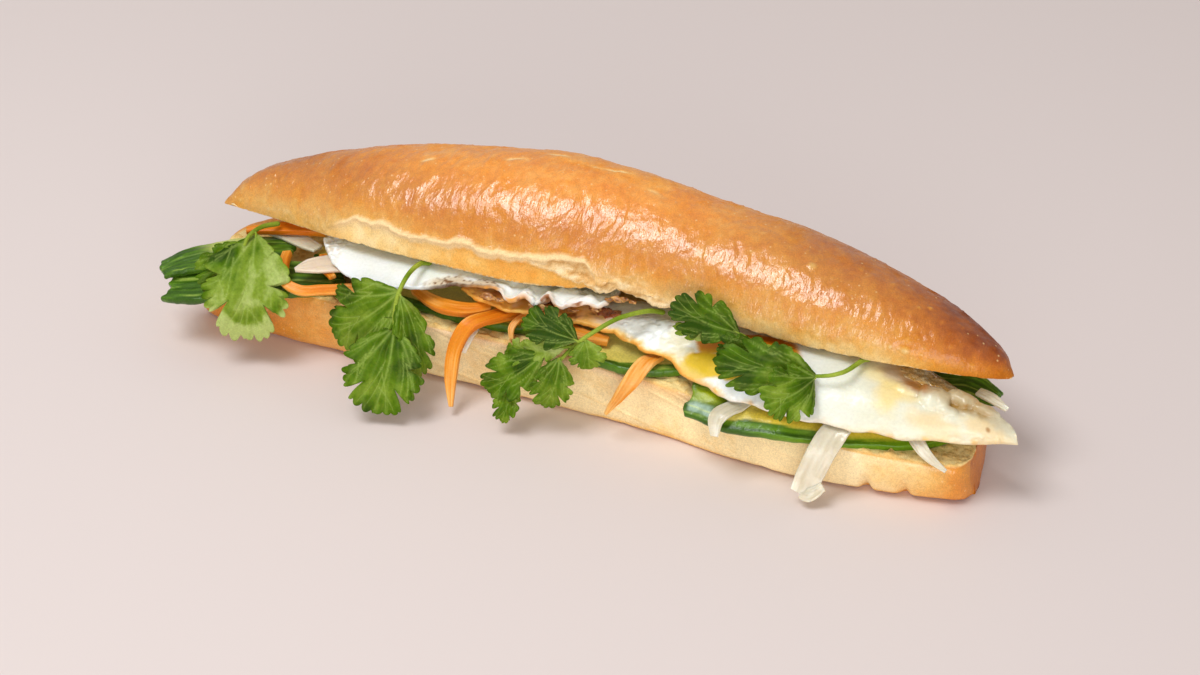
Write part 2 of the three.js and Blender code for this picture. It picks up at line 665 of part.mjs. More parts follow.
function stalk(path, radius) {
  const curve = smoothPath(path);
  const steps = Math.max(2, Math.round(curve.getLength() / 4));
  const rings = Array.from({ length: steps + 1 }, (_, i) => {
    const at = i / steps;
    const centre = curve.getPoint(at);
    const tangent = curve.getTangent(at);
    const side = new THREE.Vector3(1, 0.2, 0).cross(tangent).normalize();
    const up = tangent.clone().cross(side);
    const size = radius * (1 - 0.35 * at);
    return Array.from({ length: 6 }, (_unused, k) => {
      const angle = (k / 6) * 2 * Math.PI;
      const point = centre.clone().addScaledVector(side, size * Math.cos(angle));
      return point.addScaledVector(up, size * Math.sin(angle)).toArray();
    });
  });
  return loft(rings);
}

// A leaflet's own stalk leaves the nearest of the sprig's stalks and runs into its midrib.
function petiole([foot, tip], stalks) {
  const [from, to] = [vector(foot), vector(tip)];
  const near = stalks.flatMap((path) => smoothPath(path).getPoints(40));
  near.sort((a, b) => a.distanceTo(from) - b.distanceTo(from));
  const inside = from.clone().lerp(to, 0.14);
  return stalk([near[0], from, inside].map((p) => p.toArray()), PETIOLE_RADIUS);
}

function sprig({ stalks, leaflets }) {
  const pieces = stalks.map((path, i) => stalk(path, i ? STEM_RADIUS * 0.7 : STEM_RADIUS));
  for (const row of leaflets) pieces.push(leaflet(row), petiole(row, stalks));
  return pieces.reduce((joined, piece) => joined.add(piece));
}

// ---------------------------------------------------------------- the sandwich

const sandwich = new THREE.Group();

function addPiece(name, made, material) {
  const { vertProperties, triVerts } = made.getMesh();
  const geometry = new THREE.BufferGeometry();
  geometry.setAttribute("position", new THREE.BufferAttribute(vertProperties, 3));
  geometry.setIndex(new THREE.BufferAttribute(triVerts, 1));
  geometry.computeVertexNormals();
  const mesh = new THREE.Mesh(geometry, material);
  mesh.name = name;
  sandwich.add(mesh);
}

addPiece("bread_roll", breadRoll(), crustMaterial());
for (const [name, slice] of Object.entries(CUCUMBERS)) {
  const made = band({ thick: CUCUMBER_THICK, steps: 10, columns: 3, ...slice });
  addPiece(name, made, cucumberMaterial());
}
for (const [name, shred] of Object.entries(CARROTS)) {
  addPiece(name, band({ thick: CARROT_THICK, steps: 11, ...shred }), carrotMaterial());
}
for (const [name, shred] of Object.entries(DAIKONS)) {
  const made = band({ thick: DAIKON_THICK, steps: 9, columns: 2, ...shred });
  const turn = band({ thick: 1, steps: 4, ...DAIKON_TURN });
  addPiece(name, name === "daikon_wide" ? made.add(turn) : made, daikonMaterial());
}
addPiece("egg_left", eggSheet(EGG_LEFT), eggMaterial());
addPiece("egg_right", eggSheet(EGG_RIGHT), eggMaterial());
for (const [name, plan] of Object.entries(SPRIGS)) {
  addPiece(name, sprig(plan), leafMaterial());
}

// The origin is under the middle of the sandwich, on the surface that it lies on.
const extent = new THREE.Box3().setFromObject(sandwich, true);
const middle = extent.getCenter(new THREE.Vector3());
sandwich.children.forEach((mesh) => {
  mesh.position.set(-middle.x, -middle.y, -extent.min.z);
});

export default sandwich;
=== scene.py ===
# %% [markdown]
# # A banh mi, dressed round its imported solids
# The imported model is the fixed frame: every solid in it has its real size and place. This
# script makes a finely detailed piece for each of them, in the same metres and the same
# place, and gives every piece a material. Foods are soft and uneven, so most pieces start
# as a flat primitive whose points are carried to a curved place by a formula. That is how a
# baker or a cook would describe them too: a sheet of egg, a band of carrot, a fan of leaf.

import math
from types import SimpleNamespace as Facts

import bmesh
import bpy
import numpy as np
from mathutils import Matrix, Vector
from numpy.linalg import norm


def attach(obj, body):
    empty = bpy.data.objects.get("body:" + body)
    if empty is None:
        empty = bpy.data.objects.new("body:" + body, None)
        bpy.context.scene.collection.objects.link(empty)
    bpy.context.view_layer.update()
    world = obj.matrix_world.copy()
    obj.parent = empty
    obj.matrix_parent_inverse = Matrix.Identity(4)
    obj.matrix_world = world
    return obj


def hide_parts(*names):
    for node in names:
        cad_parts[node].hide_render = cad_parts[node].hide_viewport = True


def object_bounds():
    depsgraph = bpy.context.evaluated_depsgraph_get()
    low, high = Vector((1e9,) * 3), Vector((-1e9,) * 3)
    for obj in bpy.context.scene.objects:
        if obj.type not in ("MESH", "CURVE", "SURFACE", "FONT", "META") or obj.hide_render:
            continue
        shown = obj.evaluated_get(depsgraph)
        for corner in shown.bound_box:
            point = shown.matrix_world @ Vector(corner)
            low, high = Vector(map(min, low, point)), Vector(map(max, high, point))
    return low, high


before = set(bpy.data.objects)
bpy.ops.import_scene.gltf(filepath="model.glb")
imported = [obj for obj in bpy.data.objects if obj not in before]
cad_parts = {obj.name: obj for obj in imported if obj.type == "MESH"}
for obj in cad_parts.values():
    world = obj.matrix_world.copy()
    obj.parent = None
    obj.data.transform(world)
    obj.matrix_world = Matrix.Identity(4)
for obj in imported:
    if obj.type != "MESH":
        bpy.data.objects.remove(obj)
CAD_BOX = [list(corner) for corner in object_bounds()]
bpy.ops.object.select_all(action="DESELECT")
print("frame:", len(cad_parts), "solids, box", CAD_BOX)

# %% [markdown]
# ## Millimetres on the bench, metres in the scene
# A cook measures food in millimetres, so the tables below are in millimetres too, in the
# same working frame as the solids: x runs along the roll, y from the open front (-) to the
# hinge (+), z is up. SHIFT takes that frame to the scene's own origin.

# %% The working frame
SHIFT = np.array([1.15, 9.52, 0.0])
MM = 0.001


def to_scene(points):
    """Working millimetres to scene metres, kept inside the solids' own box."""
    low, high = np.array(CAD_BOX)
    return np.clip((points + SHIFT) * MM, low, high)


# %% [markdown]
# ## Smooth values along a line
# A loaf changes slowly along its length. It is easiest to give its width and height at a
# dozen stations and to let a smooth curve run through them. rise and fall fade one finish
# into the next, and bump makes a soft hill. cubic is the piece of curve between two of them.

# %% Values along a line


def cubic(f, start, start_slope, end, end_slope):
    """A cubic from start to end, for f from 0 to 1, that leaves and arrives at its slopes."""
    return ((2 * f**3 - 3 * f**2 + 1) * start + (f**3 - 2 * f**2 + f) * start_slope
            + (3 * f**2 - 2 * f**3) * end + (f**3 - f**2) * end_slope)


def values_at(stations, places):
    """Smooth values between stations, each [place, value, value, ...]."""
    rows = np.asarray(stations, float)
    x, v = rows[:, 0], rows[:, 1:]
    slope = np.empty_like(v)
    slope[1:-1] = (v[2:] - v[:-2]) / (x[2:] - x[:-2])[:, None]
    slope[0] = (v[1] - v[0]) / (x[1] - x[0])
    slope[-1] = (v[-1] - v[-2]) / (x[-1] - x[-2])
    places = np.asarray(places, float)
    i = np.clip(np.searchsorted(x, places) - 1, 0, len(x) - 2)
    span = (x[i + 1] - x[i])[:, None]
    t = np.clip((places[:, None] - x[i][:, None]) / span, 0, 1)
    return cubic(t, v[i], span * slope[i], v[i + 1], span * slope[i + 1]).T


def rise(x, low, high):
    """0 up to low, 1 from high on, and a smooth step between them."""
    t = np.clip((x - low) / (high - low), 0, 1)
    return t * t * (3 - 2 * t)


def fall(x, low, high):
    """1 up to low, 0 from high on: the other way round."""
    return 1 - rise(x, low, high)


def bump(x, centre, width):
    return np.exp(-(((x - centre) / width) ** 2))


def uneven(a, b=0.0):
    """A steady small unevenness, between -1 and 1."""
    return np.sin(a * 1.7 + b * 2.3 + 0.6) * 0.6 + np.sin(a * 3.9 - b * 1.3) * 0.4


def unit(v):
    return v / np.maximum(norm(v, axis=-1, keepdims=True), 1e-9)


print("halfway between two stations:", values_at([[0, 0], [1, 1], [2, 4]], [0.5]).round(3))

# %% [markdown]
# ## Grain
# Nothing baked or grown is even. This is value noise: every corner of a lattice has its own
# fixed value, and a point in between gets a smooth mix of the eight round it. Adding finer
# and finer layers gives lumps with pits on them. It is the same on every run.

# %% Noise in layers


def lattice(cells, seed):
    """A fixed value between -1 and 1 for each whole-numbered cell."""
    h = cells[:, 0] * 73856093 ^ cells[:, 1] * 19349663 ^ cells[:, 2] * 83492791
    h = (h + seed * 2654435761) & 0xFFFFFFFF
    h = ((h ^ (h >> 15)) * 2246822519) & 0xFFFFFFFF
    h = ((h ^ (h >> 13)) * 3266489917) & 0xFFFFFFFF
    return ((h ^ (h >> 16)) & 0xFFFF) / 32767.5 - 1


def grain(points, size, seed=0, layers=1):
    """Noise with features about size millimetres across, from about -1 to 1."""
    total, weight, whole = 0.0, 1.0, 0.0
    for layer in range(layers):
        p = points * (2.0**layer) / size + 37.0 + 11 * layer
        cell = np.floor(p).astype(np.int64)
        f = p - cell
        f = f * f * (3 - 2 * f)
        mixed = 0.0
        for corner in range(8):
            step = np.array([corner & 1, corner >> 1 & 1, corner >> 2 & 1])
            share = np.where(step, f, 1 - f).prod(axis=1)
            mixed = mixed + share * lattice(cell + step, seed + layer)
        total, whole, weight = total + weight * mixed, whole + weight, weight * 0.55
    return total / whole * 1.6


def lumps(points, *rows):
    """Grain of several sizes together, each row (height, size mm, seed, layers)."""
    return sum(height * grain(points, size, seed, layers)
               for height, size, seed, layers in rows)


def spots(a, b=0.0, c=0.0):
    """Points for the grain from one, two or three running values."""
    return np.stack(np.broadcast_arrays(a, b, c), axis=1).astype(float)


print("grain at three points:", grain(np.eye(3) * 5.0, 3.0, seed=1, layers=2).round(2))

# %% [markdown]
# ## Colour
# Colours are written as they are seen, from 0 to 255, and turned to the linear values that
# a renderer works in. spectrum runs through a row of them, mixed lays one over another, and
# layered does that again and again, as a painter works from the ground colour up.

# %% Colour helpers


def seen(*rgb):
    c = np.array(rgb, float) / 255
    return np.where(c <= 0.04045, c / 12.92, ((c + 0.055) / 1.055) ** 2.4)


def spectrum(value, stops):
    """Colours along a row of (place, colour) stops, for values from 0 to 1."""
    places = [place for place, _ in stops]
    table = np.array([colour for _, colour in stops])
    value = np.clip(value, 0, 1)
    return np.stack([np.interp(value, places, table[:, k]) for k in range(3)], axis=1)


def mixed(under, over, share):
    share = np.clip(np.atleast_1d(share).astype(float), 0, 1)[:, None]
    return under * (1 - share) + over * share


def layered(tint, *coats):
    """Lays coats of paint over a tint one after another, each (colour, share)."""
    for colour, share in coats:
        tint = mixed(tint, colour, share)
    return tint


print("golden crust, linear:", seen(224, 150, 72).round(3))

# %% [markdown]
# ## From a flat sheet to food
# A piece starts as a flat grid, one unit square, made by the grid primitive. Its two
# coordinates are read as (s, t), and a formula says where each point goes. The grid's own
# UV map stays. An operator acts on all that is selected, so alone comes first each time.

# %% Flat grid, and paint on points


def alone(*pieces):
    """Leaves only these pieces selected, the first of them active."""
    bpy.ops.object.select_all(action="DESELECT")
    for piece in pieces:
        piece.select_set(True)
    if pieces:
        bpy.context.view_layer.objects.active = pieces[0]


def flat_points(piece):
    flat = np.empty(len(piece.data.vertices) * 3, np.float32)
    piece.data.vertices.foreach_get("co", flat)
    return flat.reshape(-1, 3).astype(float)


def flat_grid(name, along, around):
    """A flat unit square of along x around faces. Returns it with its points' s and t."""
    alone()
    bpy.ops.mesh.primitive_grid_add(
        x_subdivisions=along, y_subdivisions=around, size=1, location=(0, 0, 0)
    )
    piece = bpy.context.object
    piece.name = piece.data.name = name
    s, t, _ = (flat_points(piece).round(6) + 0.5).T
    return piece, s, t


def set_points(piece, points):
    piece.data.vertices.foreach_set("co", to_scene(points).astype(np.float32).ravel())
    piece.data.update()


def paint(piece, name, colours):
    """A colour for each point, kept as an attribute that materials can read."""
    layer = piece.data.color_attributes.new(name, "FLOAT_COLOR", "POINT")
    rgba = np.ones((len(colours), 4), np.float32)
    rgba[:, :3] = np.clip(colours, 0, 1)
    layer.data.foreach_set("color", rgba.ravel())


def mark(piece, name, values):
    """A number for each point."""
    layer = piece.data.attributes.new(name, "FLOAT", "POINT")
    layer.data.foreach_set("value", np.clip(values, 0, 1).astype(np.float32))


print("the bench's origin lies at", to_scene(np.zeros(3)).round(4), "m")

# %% [markdown]
# ## Seams and ends
# Where a sheet meets itself, its points are merged, so that the piece is closed like the
# skin of a real one. with_ends keeps a little of the sheet at both ends for caps, whose
# rings close_ends draws in to their middles. After the merge every face is turned outwards,
# and the sum of the piece's volume tells whether that came out inside out.

# %% Close the seams


def wrapped(points, along, around):
    """The sheet's last row laid on its first one, so that its seam can be merged."""
    p = points.reshape(around + 1, along + 1, 3).copy()
    p[0] = p[-1] = (p[0] + p[-1]) / 2
    return p.reshape(-1, 3)


def close_seams(piece, gap=3e-7):
    """Merges points that have come together, and turns every face outwards."""
    alone(piece)
    bpy.ops.object.mode_set(mode="EDIT")
    bpy.ops.mesh.select_all(action="SELECT")
    bpy.ops.mesh.remove_doubles(threshold=gap)
    bpy.ops.mesh.normals_make_consistent(inside=False)
    bpy.ops.object.mode_set(mode="OBJECT")
    mesh = bmesh.new()
    mesh.from_mesh(piece.data)
    # a slab's outermost corner, with an upper and a lower face alone, would be a bare flap
    corners = [point for point in mesh.verts if len(point.link_faces) < 3]
    bmesh.ops.dissolve_verts(mesh, verts=corners)
    if mesh.calc_volume(signed=True) < 0:
        bmesh.ops.reverse_faces(mesh, faces=mesh.faces)
    mesh.to_mesh(piece.data)
    mesh.free()
    bpy.ops.object.shade_smooth()


def with_ends(s, share=0.025):
    """Splits s into the place along a loaf and how far an end cap has closed (0 to 1)."""
    place = np.clip((s - share) / (1 - 2 * share), 0, 1)
    closed = np.clip(np.maximum(share - s, s - (1 - share)) / share, 0, 1)
    return place, closed


def close_ends(points, closed, along, around):
    """Draws the rings of both end caps in to their middles."""
    p = points.reshape(around + 1, along + 1, 3)
    middle = p[:-1].mean(axis=0)[None]
    return (p + (middle - p) * closed.reshape(around + 1, along + 1, 1)).reshape(-1, 3)


def grid_normals(points, along, around):
    """Outward normals of a grid that wraps round in t."""
    p = points.reshape(around + 1, along + 1, 3)
    ds = np.gradient(p, axis=1)
    dt = np.gradient(p, axis=0)
    dt[0] = dt[-1] = p[1] - p[-2]
    return unit(np.cross(ds, dt)).reshape(-1, 3)


print("caps take", with_ends(np.array([0.0, 0.5, 1.0]))[1], "at the start, middle and end")

# %% [markdown]
# ## Thickness, joining, and what every piece says
# A blade or a film is one sheet until Solidify gives it a back. Parts of one plant are
# joined into one piece.

# %% Finish a piece


def thicken(piece, thickness_mm, offset):
    """Gives a blade or a film its thickness: a Solidify modifier, applied."""
    wall = piece.modifiers.new("wall", "SOLIDIFY")
    wall.thickness, wall.offset = thickness_mm * MM, offset
    alone(piece)
    bpy.ops.object.modifier_apply(modifier="wall")


def joined(pieces, name):
    alone(*pieces)
    bpy.ops.object.join()
    piece = bpy.context.object
    piece.name = piece.data.name = name
    bpy.ops.object.shade_smooth()
    return piece


def finish_piece(piece, slot, material, *nodes):
    piece.data.materials.clear()
    piece.data.materials.append(material)
    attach(piece, "root")
    if nodes:
        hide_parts(*nodes)
    print(piece.name, len(piece.data.polygons), "faces for", ", ".join(nodes) or slot)


print(len(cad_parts), "solids wait for their pieces")

# %% [markdown]
# ## Shader nodes in short
# A material is a tree of nodes. Adding one by hand takes a line for the node and one for
# each socket, so add_node does it at once: a socket gets either a value or the output that
# feeds it.

# %% Nodes
NOISE_DETAIL, NOISE_ROUGHNESS = 2.5, 0.6


def plug(node, sockets):
    """Sets each socket to its value, or links it to the output that feeds it."""
    for socket, value in sockets.items():
        if isinstance(value, bpy.types.NodeSocket):
            node.id_data.links.new(value, node.inputs[socket])
        else:
            node.inputs[socket].default_value = value


def add_node(tree, kind, output, sockets, **settings):
    """Adds a node to the tree and returns its output of that name or number."""
    node = tree.nodes.new("ShaderNode" + kind)
    for setting, value in settings.items():
        setattr(node, setting, value)
    plug(node, sockets)
    return node.outputs[output]


def map_range(tree, value, start, end, from_min=0.0, from_max=1.0):
    """Carries a value from the range from_min ... from_max to start ... end."""
    return add_node(tree, "MapRange", "Result", {
        "Value": value, "From Min": from_min, "From Max": from_max,
        "To Min": start, "To Max": end})


def node_grain(tree, place, size_mm, stretch=1.0):
    """Noise whose features are drawn out across the roll where stretch is over 1."""
    drawn = add_node(tree, "Mapping", "Vector", {
        "Vector": place, "Scale": (1, 1 / stretch, 1 / stretch)})
    return add_node(tree, "TexNoise", "Fac", {
        "Vector": drawn, "Scale": 1 / (size_mm * MM), "Detail": NOISE_DETAIL,
        "Roughness": NOISE_ROUGHNESS})


print("a link is made where a value is a", bpy.types.NodeSocket.__name__)

# %% [markdown]
# ## Materials for food
# Every food here has its colour painted on its points, because it changes with place: a
# crust is paler near the cut, an egg is brown at its rim. The shader adds what is finer
# than the points: specks, and pores or fibres as bump. Wet foods get a clear coat, and the
# painted number "matt" says where a surface is dull.

# %% Scattered dots
DOTTED_SHARE = 0.45  # of the cells carry a dot


def dotted(tree, place, colour, spacing_mm, radius, dot_colour, strength):
    """Scattered small dots: round spots in the cells whose own random red is high."""
    scale = {"Vector": place, "Scale": 1 / (spacing_mm * MM)}
    distance = add_node(tree, "TexVoronoi", "Distance", scale)
    own_colour = distance.node.outputs["Color"]
    red = add_node(tree, "SeparateColor", "Red", {"Color": own_colour})
    chosen = add_node(tree, "Math", "Value", {0: red, 1: 1 - DOTTED_SHARE},
                      operation="GREATER_THAN")
    dot = map_range(tree, distance, 0, strength, radius, radius * 0.4)
    share = add_node(tree, "Math", "Value", {0: dot, 1: chosen}, operation="MULTIPLY")
    return add_node(tree, "Mix", 2, {0: share, 6: colour, 7: (*dot_colour, 1)},
                    data_type="RGBA")


print(round(100 * DOTTED_SHARE), "% of the cells carry a dot")

# %% [markdown]
# ### One recipe for all foods
# Specks multiply the colour, pores are bump under bump, and the coat follows the same
# pores. Light that scatters inside reaches deepest in red, as it does in most foods.

# %% Food materials
NOISE_SPAN = (0.32, 0.68)  # nearly all of the noise lies in it
SCATTER_COLOURS, SCATTER_MM = (1, 0.75, 0.45), 2.5


def food_material(name, roughness, specks=(), pores=(), coat=None, subsurface=0.0,
                  matt=None, dots=None, gloss=0.5, clear=0.0):
    """Colour from the painted tint, under specks and pores that are finer than the mesh.

    specks: [(size mm, darker, lighter), ...], pores: [(size mm, depth mm, stretch), ...],
    coat: (weight, roughness, IOR), matt: the roughness where the painted number "matt" is
    1, dots: (spacing mm, radius as a share of it, colour, strength) of scattered dots,
    clear: how much light passes through.
    """
    material = bpy.data.materials.new(name)
    material.use_nodes = True
    tree = material.node_tree
    place = add_node(tree, "TexCoord", "Object", {})
    colour = add_node(tree, "Attribute", "Color", {}, attribute_name="tint")
    for size_mm, darker, lighter in specks:
        level = map_range(tree, node_grain(tree, place, size_mm), 1 - darker, 1 + lighter,
                          *NOISE_SPAN)
        colour = add_node(tree, "VectorMath", "Vector", {"Vector": colour, "Scale": level},
                          operation="SCALE")
    if dots:
        colour = dotted(tree, place, colour, *dots)
    look = {"Base Color": colour, "Roughness": roughness, "Specular IOR Level": gloss,
            "Transmission Weight": clear, "Subsurface Weight": subsurface}
    if subsurface:
        look |= {"Subsurface Radius": SCATTER_COLOURS, "Subsurface Scale": SCATTER_MM * MM}
    if coat:
        look |= dict(zip(("Coat Weight", "Coat Roughness", "Coat IOR"), (*coat, 1.5)))
    if matt:
        dull = add_node(tree, "Attribute", "Fac", {}, attribute_name="matt")
        look["Roughness"] = map_range(tree, dull, roughness, matt)
        if coat:
            look["Coat Weight"] = map_range(tree, dull, coat[0], 0)
    for size_mm, depth_mm, stretch in pores:
        height = node_grain(tree, place, size_mm, stretch)
        bump_sockets = {"Distance": depth_mm * MM, "Height": height}
        if "Normal" in look:
            bump_sockets["Normal"] = look["Normal"]
        look["Normal"] = add_node(tree, "Bump", "Normal", bump_sockets)
        look["Coat Normal"] = look["Normal"]
    plug(tree.nodes["Principled BSDF"], look)
    print(name, len(tree.nodes), "nodes")
    return material


# %% [markdown]
# ## The crust
# A roll's crust is golden where the oven browned it, cream where it was torn or cut, and
# redder towards a tip. One row of colours, from raw crumb to dark crust, paints both halves.
# A thin glaze of fine wrinkles gives the crust its broken shine.

# %% Crust colours and material
BAKE = [
    (0.0, seen(252, 226, 172)),
    (0.15, seen(246, 206, 136)),
    (0.3, seen(238, 180, 92)),
    (0.5, seen(230, 150, 50)),
    (0.7, seen(212, 122, 30)),
    (0.85, seen(186, 96, 22)),
    (1.0, seen(150, 68, 16)),
]
CRUMB = seen(240, 216, 166)
crust_material = food_material(
    "baked_crust", 0.5, specks=[(0.4, 0.12, 0.08), (0.8, 0.06, 0.05), (3.5, 0.04, 0.04)],
    pores=[(0.5, 0.07, 1), (1.2, 0.30, 2.4)], coat=(0.95, 0.21, 1.8), matt=0.9,
    dots=(2.6, 0.17, seen(246, 206, 140), 0.55), gloss=0.2,
)

# %% [markdown]
# ## The upper half of the roll
# The upper half is a long loaf cut flat underneath and tilted open. Its section is an arch
# on a flat cut face, so the sheet's t coordinate runs over the arch and back under the cut.
# Low on its front the crust was torn off in a strip, which leaves a pale ragged lip. The
# stations give, for each x, how far the front and the back edge lie from the hinge, how
# high the crown is, and how far the front edge is lifted.

# %% Measures of the upper half
HINGE_Y, HINGE_Z = 28, 23
OPENING = math.radians(21)
LID_STATIONS = [
    [-131, 31.5, 28.5, 1, 0],
    [-126, 33.2, 22.5, 8.5, 0],
    [-116, 35.2, 15, 15.5, 0],
    [-96, 40.5, 8, 23.6, 0],
    [-78, 46, 4, 29, 0],
    [-55, 49, 1, 33.4, 0],
    [-20, 49.6, 0, 37.8, 0],
    [4, 46.5, 0, 36.8, 2.5],
    [14, 45.6, 0, 35.6, 5.2],
    [30, 46, 0, 33.2, 3.2],
    [60, 47.2, 1, 30, 0.6],
    [90, 46.2, 5.5, 23.4, 0],
    [110, 43, 11, 16.6, 0],
    [121, 39.2, 17, 11.6, 0],
    [129, 34.5, 24, 6.4, 0],
    [132.4, 31, 28, 1, 0],
]
LID_BULGE = 1.06
TEAR_FROM, TEAR_TO, TEAR_HEIGHT, TEAR_STEP, TEAR_LIP = -96, 8, 8, 1.5, 0.7
ARCH_SHARE = 0.72  # of the sheet's t goes over the arch, the rest under the cut face


def lid_point(x, u, v):
    y = HINGE_Y - u * math.cos(OPENING) + v * math.sin(OPENING)
    z = HINGE_Z + u * math.sin(OPENING) + v * math.cos(OPENING)
    return np.stack([x, y, z], axis=1)


print("the upper half is", LID_STATIONS[-1][0] - LID_STATIONS[0][0], "mm long")

# %% [markdown]
# ### Its surface
# For each point of the sheet: first the plain arch, then the step and the lips of the torn
# strip, then the flap of crumb that hangs past the tear. What the paint needs to know, such
# as how high a point lies or whether it is on a lip, is kept as facts.

# %% The surface of the upper half


def lid_surface(s, t):
    """Place on the upper half, with what the paint needs to know about it."""
    x = LID_STATIONS[0][0] + (LID_STATIONS[-1][0] - LID_STATIONS[0][0]) * s
    front, back, crown, lift = values_at(LID_STATIONS, x)
    centre, half = (front + back) / 2, (front - back) / 2
    undercut = math.acos(1 / LID_BULGE)
    belly = crown * math.sin(undercut) / (1 + math.sin(undercut))
    over = np.clip(t / ARCH_SHARE, 0, 1)
    angle = -undercut + over * (math.pi + 2 * undercut)
    v = belly + (crown - belly) * np.sin(angle)
    front_side, along = over < 0.5, spots(x)
    # the torn strip, and the lip over it
    torn = rise(x, TEAR_FROM, TEAR_FROM + 22) * fall(x, TEAR_TO - 8, TEAR_TO)
    wander = lumps(along, (0.9, 13, 3, 2), (0.45, 2.6, 4, 2))
    ridge = TEAR_HEIGHT * torn + 0.4 * uneven(x * 0.16) + wander * torn + 1.6 * bump(x, -6, 9)
    lip_width = 1.6 + 0.5 * grain(along, 6, 5, 2)
    lip_width = lip_width + 0.6 * bump(x, -62, 16) + 1.2 * bump(x, -8, 9)
    in_strip = torn * fall(v, ridge - 0.7, ridge + 0.2) * front_side
    above = (v - ridge) / np.maximum(lip_width, 0.35)
    on_lip = torn * np.exp(-np.clip(above, -9, 9) ** 2) * front_side
    # near its right end the lip splits: a second one runs down to the edge of the cut
    second = 7.5 - 6.0 * rise(x, -17, 5) + 0.4 * grain(along, 2.2, 6, 2)
    second_share = rise(x, -20, -12) * fall(x, 2, 7)
    on_second = second_share * bump(v, second, 0.75) * front_side
    reach = LID_BULGE * half * np.cos(angle) - TEAR_STEP * in_strip
    reach = reach + 1.5 * TEAR_LIP * on_lip + on_second
    # past the tear a flap of torn crumb hangs from the edge, rounded along its top
    near_edge, ragged = fall(over, 0, 0.14), bump(x, 14, 17)
    flakes = lumps(spots(x, v), (0.9, 4.2, 7, 2), (0.7, 1.7, 8, 2))
    droop = ragged * flakes - 2.3 * bump(x, 20, 9) - 0.8 * bump(x, 6, 4)
    flap_top = 4.6 - 0.07 * (x - 4) + 0.5 * grain(along, 3, 9, 2)
    in_flap = rise(x, 3, 5) * fall(x, 30, 35) * front_side
    in_flap = in_flap * fall(v, flap_top - 0.3, flap_top + 0.5)
    u = centre + reach + 1.1 * in_flap
    edge_lift = near_edge * (lift + droop)
    v = v + edge_lift
    # back under the cut face, which sags a little in its middle
    cut, under = t > ARCH_SHARE, np.clip((t - ARCH_SHARE) / (1 - ARCH_SHARE), 0, 1)
    u = np.where(cut, back + (front - TEAR_STEP * torn - back) * under, u)
    arch = lift * rise(under, 0.3, 1) + 0.35 * (1 + uneven(x * 0.21, 4 * under))
    arch = arch * rise(under, 0, 0.06) * fall(under, 0.94, 1)
    v = np.where(cut, arch + rise(under, 0.94, 1) * lift + rise(under, 0.86, 1) * droop, v)
    return lid_point(x, u, v), Facts(
        x=x, over=over, in_strip=in_strip, on_lip=np.maximum(on_lip, on_second),
        ragged=ragged * near_edge, cut=cut, height=v - edge_lift, flap=in_flap,
        second=second)


trial, _ = lid_surface(np.array([0.5]), np.array([0.36]))
print("the crown's middle lies at", trial[0].round(1), "mm")

# %% [markdown]
# ## Relief
# Relief comes next: slow lumps, fine wrinkles across the loaf where the glaze shrank, and
# scattered blisters. Each is a small push along the surface's own normal, so the mesh
# itself carries it, and light from the side shows it as on a real crust.

# %% Blisters, wrinkles and creases


def blisters(points, count, size, seed, where):
    """Low domes at random points of the surface, where(index) says which may have one."""
    rng = np.random.default_rng(seed)
    picks = rng.choice(np.nonzero(where)[0], count, replace=False)
    height = np.zeros(len(points))
    for pick in picks:
        radius = size * rng.uniform(0.5, 1.4)
        near = np.nonzero(np.abs(points[:, 0] - points[pick, 0]) < radius)[0]
        d = norm(points[near] - points[pick], axis=1) / radius
        height[near] = np.maximum(height[near], np.clip(1 - d * d, 0, 1))
    return height


def domes(points, rows):
    """Single domes, each row [place, radius]: 1 in the middle, 0 from the radius on."""
    height = np.zeros(len(points))
    for place, radius in rows:
        d = norm(points - np.array(place), axis=1) / radius
        height = np.maximum(height, np.clip(1 - d**2, 0, 1))
    return height


def wrinkles(points, size, seed):
    """Ripples that run across the loaf, like shrunken varnish."""
    warp = grain(points, 7, seed, 2) * 2.6
    across = points * np.array([1, 0.22, 0.22]) + np.array([1, 0, 0]) * warp[:, None]
    return grain(across, size, seed + 5, 2)


def along_line(points, start, end, width):
    """1 on the line from start to end, 0 more than its width away."""
    start, end = np.array(start, float), np.array(end, float)
    run = end - start
    share = np.clip(((points - start) @ run) / (run @ run), 0, 1)
    d = norm(points - start - share[:, None] * run, axis=1)
    return np.exp(-((d / width) ** 2)) * (1 - 0.6 * np.abs(2 * share - 1) ** 3)


middle_and_end = np.array([[0, 0, 0], [1, 0, 0]], float)
print("a crease in its middle and at its end:",
      along_line(middle_and_end, (-1, 0, 0), (1, 0, 0), width=1).round(2))

# %% [markdown]
# ### Relief of the upper half
# The side towards the front wrinkles most, because the dough rose there last. Single short
# creases and large blisters stand at places of their own, and the cut crumb has pits.

# %% Relief of the upper half
LID_CELLS = (430, 226)
# Short pale creases near the crown, [from, to], and single large blisters, [place, radius].
CREASES = [
    [(-35, 7.6, 67.4), (-29, 10, 67.9)], [(-29, 10, 67.9), (-27, 8, 67.6)],
    [(-62, 3, 63.6), (-57.5, 4.6, 64.2)], [(-24, 15, 68.3), (-17, 15.4, 68.2)],
    [(-12, 12.5, 67.9), (-4, 13, 67.6)], [(-4, 13, 67.6), (4, 16, 67.2)],
    [(12, 10, 66.4), (16, 9, 66)], [(31, 12, 64.6), (36, 11.4, 63.8)],
]
LARGE_BLISTERS = [
    [(69.2, -1.6, 58.9), 1.7], [(105.5, 1.4, 51.1), 1.0], [(102.5, -1.1, 51.9), 0.8],
    [(102.6, -12.7, 44.1), 1.4], [(98, -13, 44.6), 0.8], [(44, 6, 64), 0.9],
]


